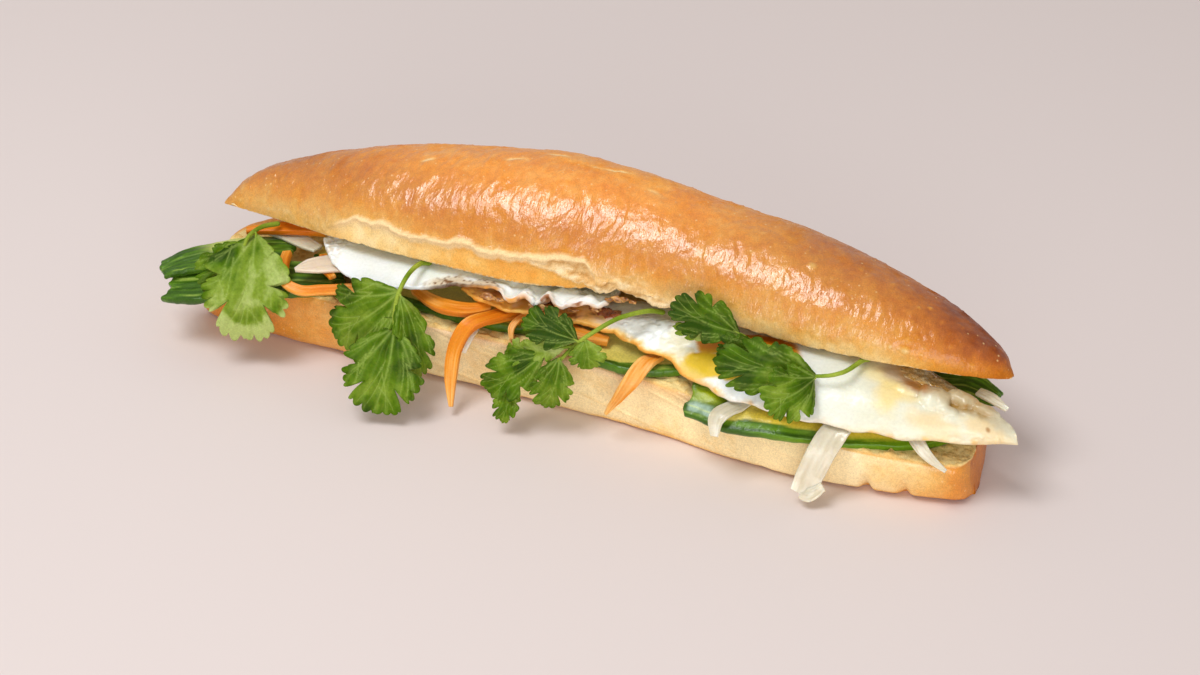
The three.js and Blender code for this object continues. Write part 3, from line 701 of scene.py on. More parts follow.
def lid_relief(points, at, s):
    """Height of the relief at each point. Adds what it finds to the facts."""
    crust = ~at.cut
    side = bump(at.over, 0.33, 0.17) * crust
    folds = np.clip(0.35 + 0.9 * grain(points, 22, 9, 2), 0, 1)
    rough = crust * (1 - 0.7 * at.in_strip)
    at.dome = blisters(points, 420, 0.7, 4, crust & (at.over > 0.03) & (at.over < 0.97))
    at.large = domes(points, LARGE_BLISTERS)
    at.crease = np.max([along_line(points, *ends, 0.55) for ends in CREASES], axis=0)
    at.torn_face = np.clip(np.maximum(at.ragged * 1.3 - 0.4, at.flap), 0, 1)
    relief = rough * lumps(points, (0.32, 15, 10, 2), (0.12, 4.5, 12, 2), (0.05, 1.3, 34, 1))
    relief += 0.26 * wrinkles(points, 2.3, 16) * side * folds
    relief += 0.17 * wrinkles(points, 1.3, 26) * rough * (0.5 + side)
    relief += 0.14 * at.dome * rough + 0.45 * at.large - 0.2 * at.crease
    pits = np.clip(grain(points, 2.6, 21, 2) - 0.15, 0, 1)
    relief -= pits * np.maximum(at.cut, 0.5 * at.torn_face)
    relief += 0.42 * grain(points, 1.7, 31, 3) * np.clip(at.on_lip * 0.8 + at.torn_face, 0, 1)
    return relief * rise(s, 0.02, 0.035) * fall(s, 0.965, 0.98)


print(len(CREASES), "creases,", len(LARGE_BLISTERS), "large blisters")

# %% [markdown]
# ### Bake of the upper half
# Oven heat comes from above and browns what stands out, so the bake grows with height and
# towards the right tip, and stays low along the cut and in the torn strip. The crown is painted
# paler and warmer: painted light, for the light that falls on the top.

# %% Colours of the upper half
LID_DEEPER = np.array([0.84, 0.84, 0.80])  # the upper half baked a shade deeper
# painted light: the crown's tint is lifted towards a warm pale, as lit from above
CROWN_PAINTED_LIGHT = np.array([1.12, 0.98, 0.9])
LIP = seen(244, 210, 156)
TORN_CRUMB = [(0, seen(200, 148, 84)), (0.5, seen(232, 194, 136)), (1, seen(250, 226, 182))]


def lid_tint(points, at):
    x, height = at.x, at.height
    # the crown gets less bake and a warmer, paler tint: painted light falling on the top
    crown = rise(height, 18, 34) * fall(x, 20, 80)
    bake = 0.22 + 0.36 * rise(height, 2, 17) + 0.06 * rise(height, 15, 30)
    bake += lumps(points, (0.07, 26, 41, 2), (0.07, 5, 43, 3), (0.04, 1.4, 45, 1))
    bake += 0.14 * rise(x, 55, 128) * rise(height, 0, 7) + 0.29 * rise(x, 92, 124)
    bake += 0.09 * rise(x, 30, 70) * fall(height, 6, 14) + 0.05 * rise(-x, 60, 90)
    bake -= 0.12 * rise(x, 20, 40) * fall(x, 98, 114) * fall(height, 0.5, 6)
    bake += 0.10 * rise(x, 20, 100) * rise(points[:, 1], -6, 14) + 0.12 * rise(-x, 104, 131)
    bake -= 0.10 * at.dome + 0.30 * at.large + 0.45 * at.crease + 0.20 * crown
    shade = LID_DEEPER + (CROWN_PAINTED_LIGHT - LID_DEEPER) * crown[:, None]
    strip = 0.36 + 0.10 * grain(points, 4, 47, 3) - 0.24 * bump(x, -72, 24)
    # between the two lips, and on the flap, bare crumb shows in overlapping flakes
    between = rise(x, -20, -13) * fall(x, 4, 9) * at.in_strip
    between = between * rise(height, at.second - 0.6, at.second + 0.6)
    at.torn_face = np.maximum(at.torn_face, between)
    flake = 0.5 + 0.8 * grain(points * np.array([1, 1, 2.2]), 2.6, 48, 3)
    return layered(
        spectrum(bake, BAKE) * shade, (spectrum(strip, BAKE), at.in_strip * 1.2),
        (LIP, rise(at.on_lip, 0.3, 0.75)),
        (spectrum(flake, TORN_CRUMB), at.torn_face * 0.95), (CRUMB, at.cut))


print("lip", LIP.round(3), "torn crumb from", TORN_CRUMB[0][1].round(3))

# %% [markdown]
# ### The upper half, made
# Now the steps come together: a flat grid, the surface, caps on the ends, relief along the
# normals, and the paint. Both halves go this way, so make_half is written once, and dress
# serves every piece of the sandwich. The glaze is dull where the crust is torn, near the
# cut, and towards the back and the tip.

# %% Build the upper half


def dress(piece, points, tint, matt=None):
    """Puts the points in place, paints them and closes the piece's seams."""
    set_points(piece, points)
    paint(piece, "tint", tint)
    if matt is not None:
        mark(piece, "matt", matt)
    close_seams(piece)


def make_half(name, cells, surface, relief, tint, matt):
    piece, s, t = flat_grid(name, *cells)
    place, closed = with_ends(s)
    points, at = surface(place, t)
    at.closed = closed
    points = close_ends(points, closed, *cells)
    normals = grid_normals(points, *cells)
    push = relief(points, at, s)
    points = points + normals * push[:, None]
    points[:, 2] = np.clip(points[:, 2], 0, None)
    dress(piece, wrapped(points, *cells), tint(points, at), matt(points, at))
    finish_piece(piece, "crust", crust_material, "bread_roll")


def lid_matt(points, at):
    matt = at.on_lip * 1.5 + 0.6 * at.in_strip + at.torn_face + at.cut
    matt = matt + 0.5 * fall(at.height, 0, 8) + 0.45 * rise(at.x, 70, 118)
    return matt + 0.4 * (rise(points[:, 1], 6, 20) + rise(grain(points, 6, 49, 3), 0, 0.7))


make_half("roll_upper_half", LID_CELLS, lid_surface, lid_relief, lid_tint, lid_matt)

# %% [markdown]
# ## The lower half of the roll
# The lower half lies flat on its baked underside. Its front shows three finishes from left
# to right: browned crust, a pale side that the oven hardly touched, and tan crust again,
# and at the right end the open crumb of its cut top. Its section has twenty corners, all
# round, and the stations give the front edge, the back edge and the top for each x.

# %% Measures of the lower half
BASE_STATIONS = [
    [-134, -13, 2, 15],
    [-131.5, -18.5, 9, 19],
    [-122, -21.3, 18, 21],
    [-95, -22.8, 25, 21],
    [-50, -23.8, 28.5, 21],
    [0, -24.2, 29, 21],
    [34, -26.2, 29, 20.4],
    [52, -29.2, 28.3, 19.2],
    [75, -30.6, 27, 17.4],
    [92, -29.6, 24.5, 16],
    [110, -27, 19.5, 15],
    [120, -25.2, 12, 14.4],
    [124.6, -22.6, 2, 14],
    [125.9, -18.6, -8, 13.8],
]
BASE_EDGE_ROUND = 7
BASE_END_LEAN = 2
BASE_CLEFTS, CLEFT_DEPTH, CLEFT_WIDTH = (97, 108.5), 2.7, 1.6
BASE_CELLS = (400, 230)
# How much of the sheet's t each side of the section gets: the parts that show get more.
BASE_WEIGHTS = [2, 1, 1, 2, 3, 3, 4, 4, 3, 5, 6, 6, 8, 9, 5, 9, 11, 8, 5, 5]


def base_outline(front, back, top, x):
    """The section's corners, round from the front of the underside to the front foot."""
    width = back - front
    rounding = np.minimum(BASE_EDGE_ROUND, width * 0.3)
    pinch = CLEFT_DEPTH * sum(bump(x, at, CLEFT_WIDTH) for at in BASE_CLEFTS)
    sag = 0.35 * uneven(x * 0.11)
    zero = 0 * x
    corners = [
        (front + rounding, zero),
        (front + width * 0.36, zero),
        (front + width * 0.5, zero),
        (front + width * 0.64, zero),
        (back - rounding, zero),
        (back - rounding * 0.35, top * 0.09),
        (back + 0.5, top * 0.34),
        (back + 1.2, top * 0.62),
        (back + 0.2, top * 0.88),
        (back - 2.5, top),
        (back - width * 0.25, top - 0.4 + sag),
        (back - width * 0.45, top - 0.5 - sag),
        (front + width * 0.35, top - 0.3 + sag),
        (front + width * 0.18, top - 0.1),
        (front + 1.6, top),
        (front + 0.2, top - 1.5),
        (front - 0.3, top * 0.6),
        (front + 0.1 + pinch * 0.5, top * 0.34),
        (front + 1.2 + pinch, top * 0.16),
        (front + 3.4 + pinch, top * 0.04),
    ]
    return np.array(corners)  # (corner, y or z, point)


print("the lower half is", BASE_STATIONS[-1][0] - BASE_STATIONS[0][0], "mm long")

# %% [markdown]
# ### Its surface
# The sheet's t runs round the section from corner to corner, with a cubic through them that
# is drawn in a little, so that it keeps to the flat sides. The regions say where the crumb,
# the underside, the pale side and the front are, for relief and paint alike.

# %% The surface of the lower half
CORNER_TENSION = 0.38


def base_surface(s, t):
    first, last = BASE_STATIONS[0][0], BASE_STATIONS[-1][0]
    x = first + (last - first) * s
    front, back, top = values_at(BASE_STATIONS, x)
    corners = base_outline(front, back, top, x)
    count = len(corners)
    starts = np.concatenate([[0], np.cumsum(BASE_WEIGHTS)]) / sum(BASE_WEIGHTS)
    k = np.clip(np.searchsorted(starts, t, side="right") - 1, 0, count - 1)
    f = (t - starts[k]) / (starts[k + 1] - starts[k])
    column = np.arange(len(x))
    a, b, c, d = (corners[(k + step) % count, :, column].T for step in (-1, 0, 1, 2))
    y, z = cubic(f, b, (c - a) * CORNER_TENSION, c, (d - b) * CORNER_TENSION)
    z = np.clip(z, 0, None)
    lean = BASE_END_LEAN * rise(x, 118, 127)
    points = np.stack([x + lean * (1 - z / top), y, z], axis=1)
    return points, Facts(x=x, corner=k + f, height=z / top)


def base_regions(at):
    """Adds to the facts how much each point belongs to the regions of the lower half."""
    x, corner = at.x, at.corner
    at.end = rise(at.closed, 0.04, 0.3)
    at.cut = rise(corner, 9.3, 9.9) * fall(corner, 13.9, 14.5) * fall(at.closed, 0.02, 0.16)
    at.below = (corner < 4.6) * (1 - at.end)
    at.show = 1 - np.maximum(at.cut, at.below)
    at.pale = rise(x, -88, -50) * fall(x, 74, 96)
    at.front = rise(corner, 14.2, 14.8) * fall(corner, 18.6, 19.6)
    at.back = rise(corner, 4.6, 5.6) * fall(corner, 8.8, 9.6) * (1 - at.end)


trial, _ = base_surface(np.array([0.5]), np.array([0.5]))
print("the top's middle lies at", trial[0].round(1), "mm")

# %% [markdown]
# ### Its relief and bake
# Slack folds run slantwise down the pale side, where the dough sank, and are painted a little
# darker as painted shade. The foot is nearly square in the middle. The crumb is open: large and
# small pits, with painted shade in their depths.

# %% Relief and colours of the lower half
FOLD_SLANT = np.array([[0.30, 0, 0.25], [0, 0.2, 0], [1.0, 0, 1.0]])
# the second colour darkens the crumb's pits: painted shade
OPEN_CRUMB, PIT_SHADE = seen(255, 226, 156), seen(222, 174, 92)


def base_relief(points, at, s):
    base_regions(at)
    x, corner = at.x, at.corner
    at.dome = blisters(points, 160, 0.7, 9, at.show > 0.9)
    at.creases = np.clip(grain(points @ FOLD_SLANT, 3.4, 55, 2) - 0.2, 0, 1)
    relief = at.show * lumps(points, (0.30, 12, 51, 2), (0.12, 3.4, 52, 3))
    relief -= 0.75 * at.creases * at.pale * at.front * rise(at.height, 0.05, 0.3)
    relief += 0.10 * at.dome * at.show
    relief += 1.4 * bump(x, 22, 34) * rise(corner, 14.8, 16) * fall(corner, 18.4, 19.6)
    points[:, 1] -= 1.6 * bump(x, 26, 50) * bump(corner, 19, 1.4) * (1 - at.end)
    at.pits = np.clip(grain(points, 2.2, 61, 2) - 0.1, 0, 1)
    at.small_pits = np.clip(grain(points, 1.1, 63, 1) - 0.2, 0, 1)
    relief -= (1.1 * at.pits + 0.5 * at.small_pits) * at.cut
    return relief * rise(s, 0.01, 0.03) * fall(s, 0.97, 0.99)


def base_tint(points, at):
    x, corner, height = at.x, at.corner, at.height
    bake = 0.40 + lumps(points, (0.08, 22, 71, 2), (0.06, 5, 73, 3), (0.03, 1.3, 77, 1))
    to_foot = rise(corner, 14.2, 14.8) * fall(corner, 19.3, 20)
    bake -= 0.42 * at.pale * to_foot * (0.45 + 0.55 * rise(height, 0.01, 0.10))
    bake -= 0.36 * bump(x, 90, 26) * at.front * rise(height, 0.02, 0.2)
    bake += 0.26 * rise(x, 115, 125) + 0.10 * at.end + 0.14 * rise(-x, 62, 116)
    rim_line = fall(height + 0.03 * grain(points, 7, 75, 2), 0.02, 0.09)
    bake += 0.05 * rim_line * at.show * (1 - at.end) + 0.12 * at.back + 0.16 * at.below
    # painted shade: the recessed creases of the pale side are painted a little darker
    bake += 0.10 * at.creases * at.pale * at.front
    # painted highlight: a pale pinkish band along the top edge of the pale side
    top_edge_highlight = rise(corner, 14.0, 14.5) * fall(corner, 14.8, 15.4) * at.pale
    # painted shade: the pits of the cut crumb are painted darker in their depths
    shaded_pits = np.clip(1.5 * at.pits + at.small_pits, 0, 1)
    return layered(
        spectrum(bake, BAKE), (seen(240, 200, 158), top_edge_highlight * 0.6),
        (seen(232, 172, 76), bump(x, 32, 9) * bump(corner, 14.4, 0.9) * 0.6),
        (OPEN_CRUMB, at.cut), (PIT_SHADE, at.cut * shaded_pits * 0.8))


def base_matt(points, at):
    return 0.45 + 0.5 * at.pale * at.front + at.cut


make_half("roll_lower_half", BASE_CELLS, base_surface, base_relief, base_tint, base_matt)

# %% [markdown]
# ## The crust that joins the halves
# The knife stopped short of the back, so the two halves hang together by a fold of crust.
# It is one long sheet with a rounded section that follows both backs and thins at its ends.

# %% Build the fold of crust
HINGE_REACH, HINGE_DEPTH, HINGE_HEIGHT, HINGE_TAPER = 100, 5.2, 6, 34
HINGE_CELLS = (300, 40)


def make_hinge():
    piece, s, t = flat_grid("roll_hinge_crust", *HINGE_CELLS)
    x = HINGE_REACH * (2 * s - 1)
    _, base_back, base_top = values_at(BASE_STATIONS, x)
    lid_edge = lid_point(x, values_at(LID_STATIONS, x)[1], 0 * x)
    fade = 1 - 0.7 * rise(np.abs(x), HINGE_REACH - HINGE_TAPER, HINGE_REACH)
    fade = fade * np.sqrt(np.clip(1 - ((2 * s - 1) ** 24), 0, 1))
    y = (base_back + lid_edge[:, 1]) / 2 - 0.62 * HINGE_DEPTH * fade
    z = (base_top + lid_edge[:, 2]) / 2
    angle = 2 * math.pi * t
    y, z = y + HINGE_DEPTH * fade * np.cos(angle), z + HINGE_HEIGHT * fade * np.sin(angle)
    points = np.stack([x, y, z], axis=1)
    fine = 0.35 * grain(points * np.array([1, 0.3, 0.3]), 3, 81, 3) - 0.1
    normals = grid_normals(points, *HINGE_CELLS)
    points = points + normals * (fine * rise(fade, 0, 0.3))[:, None]
    tint = spectrum(0.36 + 0.16 * grain(points, 4, 83, 3), BAKE)
    dress(piece, points, tint, np.full(len(x), 0.7))
    finish_piece(piece, "crust", crust_material, "bread_roll")


make_hinge()

# %% [markdown]
# ## Curves
# A shred bends like a wire: a few points give its course, and a curve runs through them
# without overshooting where they lie unevenly. spaced turns plain values into stations,
# and eased crowds a sheet's points towards its edges, where the rounding needs them.

# %% Curves


def smooth_path(points):
    """A curve through the points, like a bent wire. Call it with places from 0 to 1."""
    p = np.asarray(points, float)
    e = np.vstack([2 * p[0] - p[1], p, 2 * p[-1] - p[-2]])

    def at(place):
        w = np.clip(place, 0, 1) * (len(p) - 1)
        i = np.minimum(w.astype(int), len(p) - 2)
        a, b, c, d = e[i], e[i + 1], e[i + 2], e[i + 3]
        g0, g1, g2 = (np.sqrt(norm(q - r, axis=1))[:, None]
                      for q, r in ((b, a), (c, b), (d, c)))
        m1 = ((b - a) / g0 - (c - a) / (g0 + g1) + (c - b) / g1) * g1
        m2 = ((c - b) / g1 - (d - b) / (g1 + g2) + (d - c) / g2) * g1
        return cubic((w - i)[:, None], b, m1, c, m2)

    return at


def spaced(values):
    """Values as stations at even places from 0 to 1, for values_at."""
    return [[i / (len(values) - 1), *np.atleast_1d(v)] for i, v in enumerate(values)]


def eased(u, share=0.5):
    return (1 - share) * u + share * (1 - np.cos(np.pi * u)) / 2


print("places of three widths:", [place for place, _ in spaced([9, 15, 12])])

# %% [markdown]
# ## Slabs: slices, shreds and eggs
# A cucumber slice, a carrot shred and a fried egg are all slabs: a curved middle surface
# with a thickness. The sheet's t coordinate runs over the upper face and back under the
# lower one, and the thickness falls to nothing at the rim along a quarter circle, which
# rounds the edge like a real cut edge that has been handled.

# %% Slabs


def make_slab(name, middle, thickness, cells, edge, relief):
    """middle(s, t) is the slab's middle surface. Returns the piece and what paint needs."""
    piece, s, turn = flat_grid(name, *cells)
    upper = turn <= 0.5
    t = eased(np.where(upper, 2 * turn, 2 - 2 * turn))
    s, step = eased(s, 0.3), 1e-3
    s0, s1 = np.clip(s - step, 0, 1), np.clip(s + step, 0, 1)
    t0, t1 = np.clip(t - step, 0, 1), np.clip(t + step, 0, 1)
    normal = unit(np.cross(middle(s1, t) - middle(s0, t), middle(s, t1) - middle(s, t0)))
    if normal[:, 2].mean() < 0:
        normal = -normal
    across = norm(middle(s, 0 * t + 1) - middle(s, 0 * t), axis=1)
    length = norm(middle(0 * s + 1, t) - middle(0 * s, t), axis=1)
    rim = np.minimum(np.minimum(t, 1 - t) * across, np.minimum(s, 1 - s) * length)
    rounding = np.sqrt(np.clip(1 - (1 - np.minimum(rim / edge, 1)) ** 2, 0, 1))
    half = thickness(s, t) / 2 * rounding
    at = Facts(s=s, t=t, upper=upper, rim=rim)
    points = middle(s, t) + normal * (np.where(upper, 1, -1) * half)[:, None]
    at.points = points + normal * (relief(points, at) * rounding)[:, None]
    return piece, at


def band(path, widths, across, thick, bow=0.0, **_):
    """The middle surface of a slice or a shred, as the solids have it."""
    curve, sides, broad = smooth_path(path), spaced(across), spaced(widths)

    def middle(s, t):
        tangent = unit(curve(s + 1e-4) - curve(s - 1e-4))
        side = values_at(sides, s).T
        side = unit(side - tangent * (side * tangent).sum(1)[:, None])
        up = unit(np.cross(tangent, side))
        up = np.where(up[:, 2:] < 0, -up, up)
        offset = (2 * t - 1)[:, None]
        width = values_at(broad, s).T
        return curve(s) + side * offset * width / 2 + up * bow * (1 - offset**2)

    return middle


straight = band([[0, 0, 0], [10, 0, 0]], [4, 4], [[0, 1, 0], [0, 1, 0]], 1)
print("a straight band's left front corner:", straight(np.zeros(1), np.zeros(1))[0])

# %% [markdown]
# ## Cucumber
# The roll holds long slices. Two at the left lie skin up: dark green with paler stripes
# along them. The inner ones show pale flesh, with the skin as a dark line along each edge,
# and the right one is folded so that its left end shows skin too. A slice is a band: a path
# along its middle, its width at even steps, and the direction across it at both ends.

# %% Measures of the cucumber slices
CUCUMBERS = {
    "cucumber_left_lower": dict(
        path=[[-138, -29.9, 17.6], [-129, -29.5, 19.6], [-113, -24.4, 22.7],
              [-97, -17.5, 22.9], [-80, -13, 22.9]],
        widths=[12, 15, 17, 17, 12], across=[[-0.2, 0.94, 0.34], [0, 1, 0]],
        bow=0.3, thick=2.8, skin="up"),
    "cucumber_left_upper": dict(
        path=[[-141, -28, 21.4], [-133.4, -23.6, 24], [-118, -15.8, 26.9], [-102, -8, 26.8]],
        widths=[7, 11, 14.5, 14], across=[[-0.1, 0.92, 0.38], [0, 1, -0.06]],
        bow=0.4, thick=2.6, skin="up"),
    "cucumber_left_inner": dict(
        path=[[-96, -3, 26.1], [-84, -4, 26.1], [-70, -5, 26.1]],
        widths=[9, 15, 12], across=[[0.3, 1, 0], [0, 1, 0]], thick=2, skin="edge"),
    "cucumber_middle": dict(
        path=[[-66, -9, 22.9], [-46, -9, 22.9], [-24, -7.6, 22.9], [-6, -6, 22.9]],
        widths=[14, 21, 22, 16], across=[[0, 1, 0], [0, 1, 0]], thick=3, skin="edge"),
    "cucumber_centre": dict(
        path=[[-2, -14, 23.1], [8, -15.6, 23.1], [22, -14.8, 22.9], [37, -11, 22.7]],
        widths=[10, 20, 21, 13], across=[[0, 1, 0.02], [0, 1, 0.02]], thick=3, skin="edge"),
    "cucumber_right": dict(
        path=[[40, -27, 21.8], [52, -27, 21.75], [70, -24, 21.1], [90, -18.6, 19.5],
              [108, -12, 18], [118, -8, 17.4]],
        widths=[16, 20, 21, 21, 18, 9],
        across=[[-0.1, 0.82, 0.58], [-0.1, 0.96, 0.26], [0, 1, 0.12], [0, 1, 0.02]],
        bow=0.4, thick=3, skin="folded"),
    "cucumber_right_end": dict(
        path=[[98, 7, 19], [109, 5, 22.6], [119, 3, 25.6], [129.5, 0, 24.8]],
        widths=[8, 11, 10, 5], across=[[0, 1, 0.1], [0.1, 0.9, 0.35]], thick=2.6, skin="up"),
}
print(len(CUCUMBERS), "slices, up to", max(max(c["widths"]) for c in CUCUMBERS.values()), "mm")

# %% [markdown]
# ### Their colours
# Light goes a little way into cucumber flesh, hence the subsurface scattering. The skin is
# dark green with lighter lines along its ribs. How broad it shows depends on the cut.

# %% Cucumber colours
SKIN_DARK, SKIN_MID, SKIN_PALE = seen(54, 88, 14), seen(96, 138, 30), seen(166, 188, 84)
FLESH, FLESH_RIM, FLESH_CORE = seen(226, 210, 104), seen(196, 190, 52), seen(236, 218, 124)
cucumber_material = food_material(
    "cucumber", 0.30, specks=[(0.6, 0.14, 0.10)], pores=[(0.9, 0.10, 1)],
    coat=(0.16, 0.15), subsurface=0.10, gloss=0.25,
)
RIBS = 4  # along the skin, over the width of a slice


def rib_height(points, t):
    return np.cos(2 * np.pi * (RIBS * t + 0.22 * grain(points, 15, 91)))


def skin_share(name, kind, points, at):
    """1 where the skin shows, 0 where the flesh does, and how wide the skin's line is."""
    from_skin, width = np.minimum(at.t, 1 - at.t), 0.0
    if kind == "up":
        return np.where(at.upper, 1, fall(at.rim, 0.4, 1.0)), width
    if kind == "edge":
        width = 0.07 + 0.03 * grain(points, 8, 96)
        if name == "cucumber_centre":
            width = width + 0.12 * rise(points[:, 0], 8, 24)
        return fall(from_skin, width, width + 0.03), width
    # the skin shows broad at the folded left end and thins out towards the right
    width = 0.17 - 0.09 * rise(points[:, 0], 66, 100) + 0.03 * grain(points, 7, 97, 2)
    fold = fall(points[:, 0] + 2 * grain(points, 5, 98), 52, 56)
    return np.maximum(np.maximum(fall(at.t, width, width + 0.02), fold), ~at.upper), width


print("skin", SKIN_DARK.round(3), "flesh", FLESH.round(3))

# %% [markdown]
# ### Paint for a slice
# Under the skin lies a greenish rim of flesh, then the flesh itself, then the watery core.
# The right slice has a bright edge, an olive cast, a painted glow of light through the middle
# of its fold, and a painted bluish-white reflection with a pale streak, as off wet skin, on the
# fold.

# %% Paint for a slice


def cucumber_tint(name, kind, points, at):
    x, t = points[:, 0], at.t
    lines = grain(spots(at.s * 4, t * 14), 1.0, 93, 3)
    stripe = 0.5 - 0.25 * rib_height(points, t) + 0.5 * lines + 0.2 * grain(points, 6, 94)
    from_skin, (on, width) = np.minimum(t, 1 - t), skin_share(name, kind, points, at)
    skin = layered(SKIN_DARK, (SKIN_MID, 0.35 + 0.6 * lines),
                   (SKIN_PALE, rise(stripe, 0.75, 1.2) * 0.7))
    tint = layered(FLESH_RIM, (FLESH, rise(from_skin, 0.03, 0.2)),
                   (FLESH_CORE, rise(from_skin, 0.25, 0.5) * 0.6 + 0.15 * lines), (skin, on))
    if name == "cucumber_left_upper":
        pale_patch = bump(x, -123, 6) * rise(points[:, 1], -21, -17)
        tint = mixed(tint, seen(196, 204, 110), pale_patch * 1.4)
    if kind == "folded":
        olive = rise(x, 54, 66) * rise(t, width, width + 0.02) * at.upper
        bright = fall(t, 0.10, 0.18) * rise(x, 48, 54)
        # painted reflection: a bluish-white patch with a pale streak on the fold, the glare of
        # wet skin
        wet_glare_share = rise(x, 41, 42.5) * fall(x + 3 * t, 49, 51.5) * at.upper
        wet_glare_share = wet_glare_share * rise(t, 0.10, 0.14) * fall(t, 0.27, 0.34)
        wet_glare = layered(seen(164, 190, 168),
                       (seen(196, 212, 150), bump(t + 0.004 * (x - 45), 0.2, 0.014)))
        tint = layered(
            # painted glow: a yellow-green patch in the fold's middle, for light shining through
            # the slice
            tint, (seen(164, 176, 14), bump(x, 47, 5) * bump(t, 0.46, 0.14) * at.upper),
            (seen(218, 188, 34), olive * 0.75),
            (seen(108, 150, 18), bright * (0.55 + 0.7 * lines)),
            (wet_glare, wet_glare_share * (0.75 + 0.4 * grain(points, 2, 99, 2))))
    return tint


print("watery core", FLESH_CORE.round(3))

# %% [markdown]
# ### The slices, made
# A knife leaves ends and sides that are never quite straight, so the middle surface is
# nibbled first. The right slice's front edge droops over the bread.

# %% Build the cucumber slices
FRONT_DROOP, SLICE_EDGE = 1.7, 1.1
FINE_SLICES = ("cucumber_right", "cucumber_left_lower")  # the longest two get more faces


def cut_unevenly(middle, seed, at_ends, at_sides):
    """A middle surface whose ends and sides are nibbled, as shares of length and width."""
    def nibbled(s, t):
        end = at_ends * np.clip(0.5 + 0.6 * grain(spots(9 * t), 1.8, seed, 2), 0, 1.2)
        ragged = grain(spots(30 * s, 9.0 * (t > 0.5)), 2, seed + 1, 2)
        side = at_sides * np.clip(0.4 + 0.6 * ragged, 0, 1.2)
        return middle(s + end * ((1 - s) ** 6 - s**6), 0.5 + (t - 0.5) * (1 - side))

    return nibbled


def drooped(middle, depth):
    """A middle surface whose front edge bends down over the bread."""
    def bent(s, t):
        points = middle(s, t)
        points[:, 2] -= depth * fall(t, 0, 0.24) * rise(s, 0.1, 0.3)
        return points

    return bent


def make_cucumber(name, slice_, seed):
    kind = slice_["skin"]

    def relief(points, at):
        skin = 1.0 if kind != "edge" else 0.3
        push = skin * (0.10 * rib_height(points, at.t) + 0.12 * grain(points, 2.6, 92, 2))
        return np.where(at.upper, 1, -1) * (push + 0.26 * grain(points, 9, 95, 2))

    sheet = cut_unevenly(band(**slice_), seed, 0.07 if kind == "up" else 0.035, 0.06)
    if kind == "folded":
        sheet = drooped(sheet, FRONT_DROOP)
    cells = (240 if name in FINE_SLICES else 160, 100)
    piece, at = make_slab(f"{name}_slice", sheet, lambda s, t: slice_["thick"], cells,
                          SLICE_EDGE, relief)
    dress(piece, at.points, cucumber_tint(name, kind, at.points, at))
    finish_piece(piece, "cucumber", cucumber_material, name)


for i, (name, slice_) in enumerate(CUCUMBERS.items()):
    make_cucumber(name, slice_, 600 + 10 * i)

# %% [markdown]
# ## Carrot and daikon shreds
# Shreds are cut with a peeler or a grater: bands with crisp but softened edges and fine
# lines along them. Carrot is opaque orange, and daikon is white and half clear. Two small
# ends look out on their own: the turned-up end of the wide daikon shred, and a tip beside
# the hanging carrot.

# %% Measures of the shreds
CARROTS = {
    "carrot_left_top": dict(
        path=[[-119, -9.6, 31.4], [-110, -6, 32.4], [-102, -3, 32.4], [-95, -0.4, 31.4]],
        widths=[2.2, 4, 4.6, 3.4], across=[[0, 1, 0.4], [0, 1, 0]], thick=2),
    "carrot_left_bent": dict(
        path=[[-101.4, -15, 30.4], [-100.2, -20, 29.6], [-97, -26.4, 27.6],
              [-91, -27.6, 26.4], [-85, -25, 26.4], [-76, -20.6, 26.4], [-68, -16.6, 26.4]],
        widths=[3, 3.2, 3.4, 3.4, 3.2], across=[[1, 0.4, 0.3], [0, 0.8, 0.6]], thick=2.3),
    "carrot_left_short": dict(
        path=[[-92, -9, 28.3], [-88, -15.4, 28.2], [-83.4, -19.4, 28.1]],
        widths=[2.6, 3, 2.4], across=[[1, 0.4, 0], [0.6, 0.6, 0.1]], thick=1.4),
    "carrot_middle_flat": dict(
        path=[[-57, -15, 27.4], [-46, -20.2, 27.7], [-37, -20.4, 28.3], [-30, -16.4, 28.3]],
        widths=[3, 4.6, 4.6, 3], across=[[0, 0.9, 0.3], [0.2, 0.9, 0.25]], thick=2.3),
    "carrot_hanging": dict(
        path=[[-22.4, -12, 27.6], [-26.6, -20, 28.5], [-33, -26.6, 27.2],
              [-36.6, -29.4, 19.6], [-36.4, -33.6, 11.6], [-34.6, -38, 3.4]],
        widths=[5, 5, 5.1, 4.7, 4, 1.4], across=[[0.8, -0.5, 0], [1, 0.3, 0.1]],
        thick=1.9),
    "carrot_middle_cross": dict(
        path=[[-17, -10, 25.7], [-25, -15.5, 25.7], [-35, -23.6, 25.2]],
        widths=[3, 4.2, 3], across=[[0.6, -0.8, 0], [0.6, -0.8, 0]], thick=1.35),
    "carrot_thin": dict(
        path=[[-17.6, -12.4, 27.6], [-19.6, -16.2, 27.6], [-21.4, -20.2, 25.6],
              [-20.4, -22.8, 22.7]],
        widths=[1.8, 2.2, 2.2, 1.4], across=[[1, -0.4, 0], [1, 0.3, 0]], thick=1),
    "carrot_centre_flat": dict(
        path=[[-15, -11.4, 26.7], [-8, -16, 27.6], [1, -18.8, 27.7], [10, -17.8, 26.9]],
        widths=[3.4, 5, 4.6, 3], across=[[0.6, 0.8, 0], [-0.3, 0.9, 0.2]], thick=1.9),
    "carrot_pointed": dict(
        path=[[27, -18, 26], [24.4, -24, 26.1], [21.6, -29.9, 21.8], [14.6, -31.8, 10]],
        widths=[4, 5.2, 5, 0.9], across=[[1, 0.4, 0], [1, 0.5, 0]], thick=1.7),
}
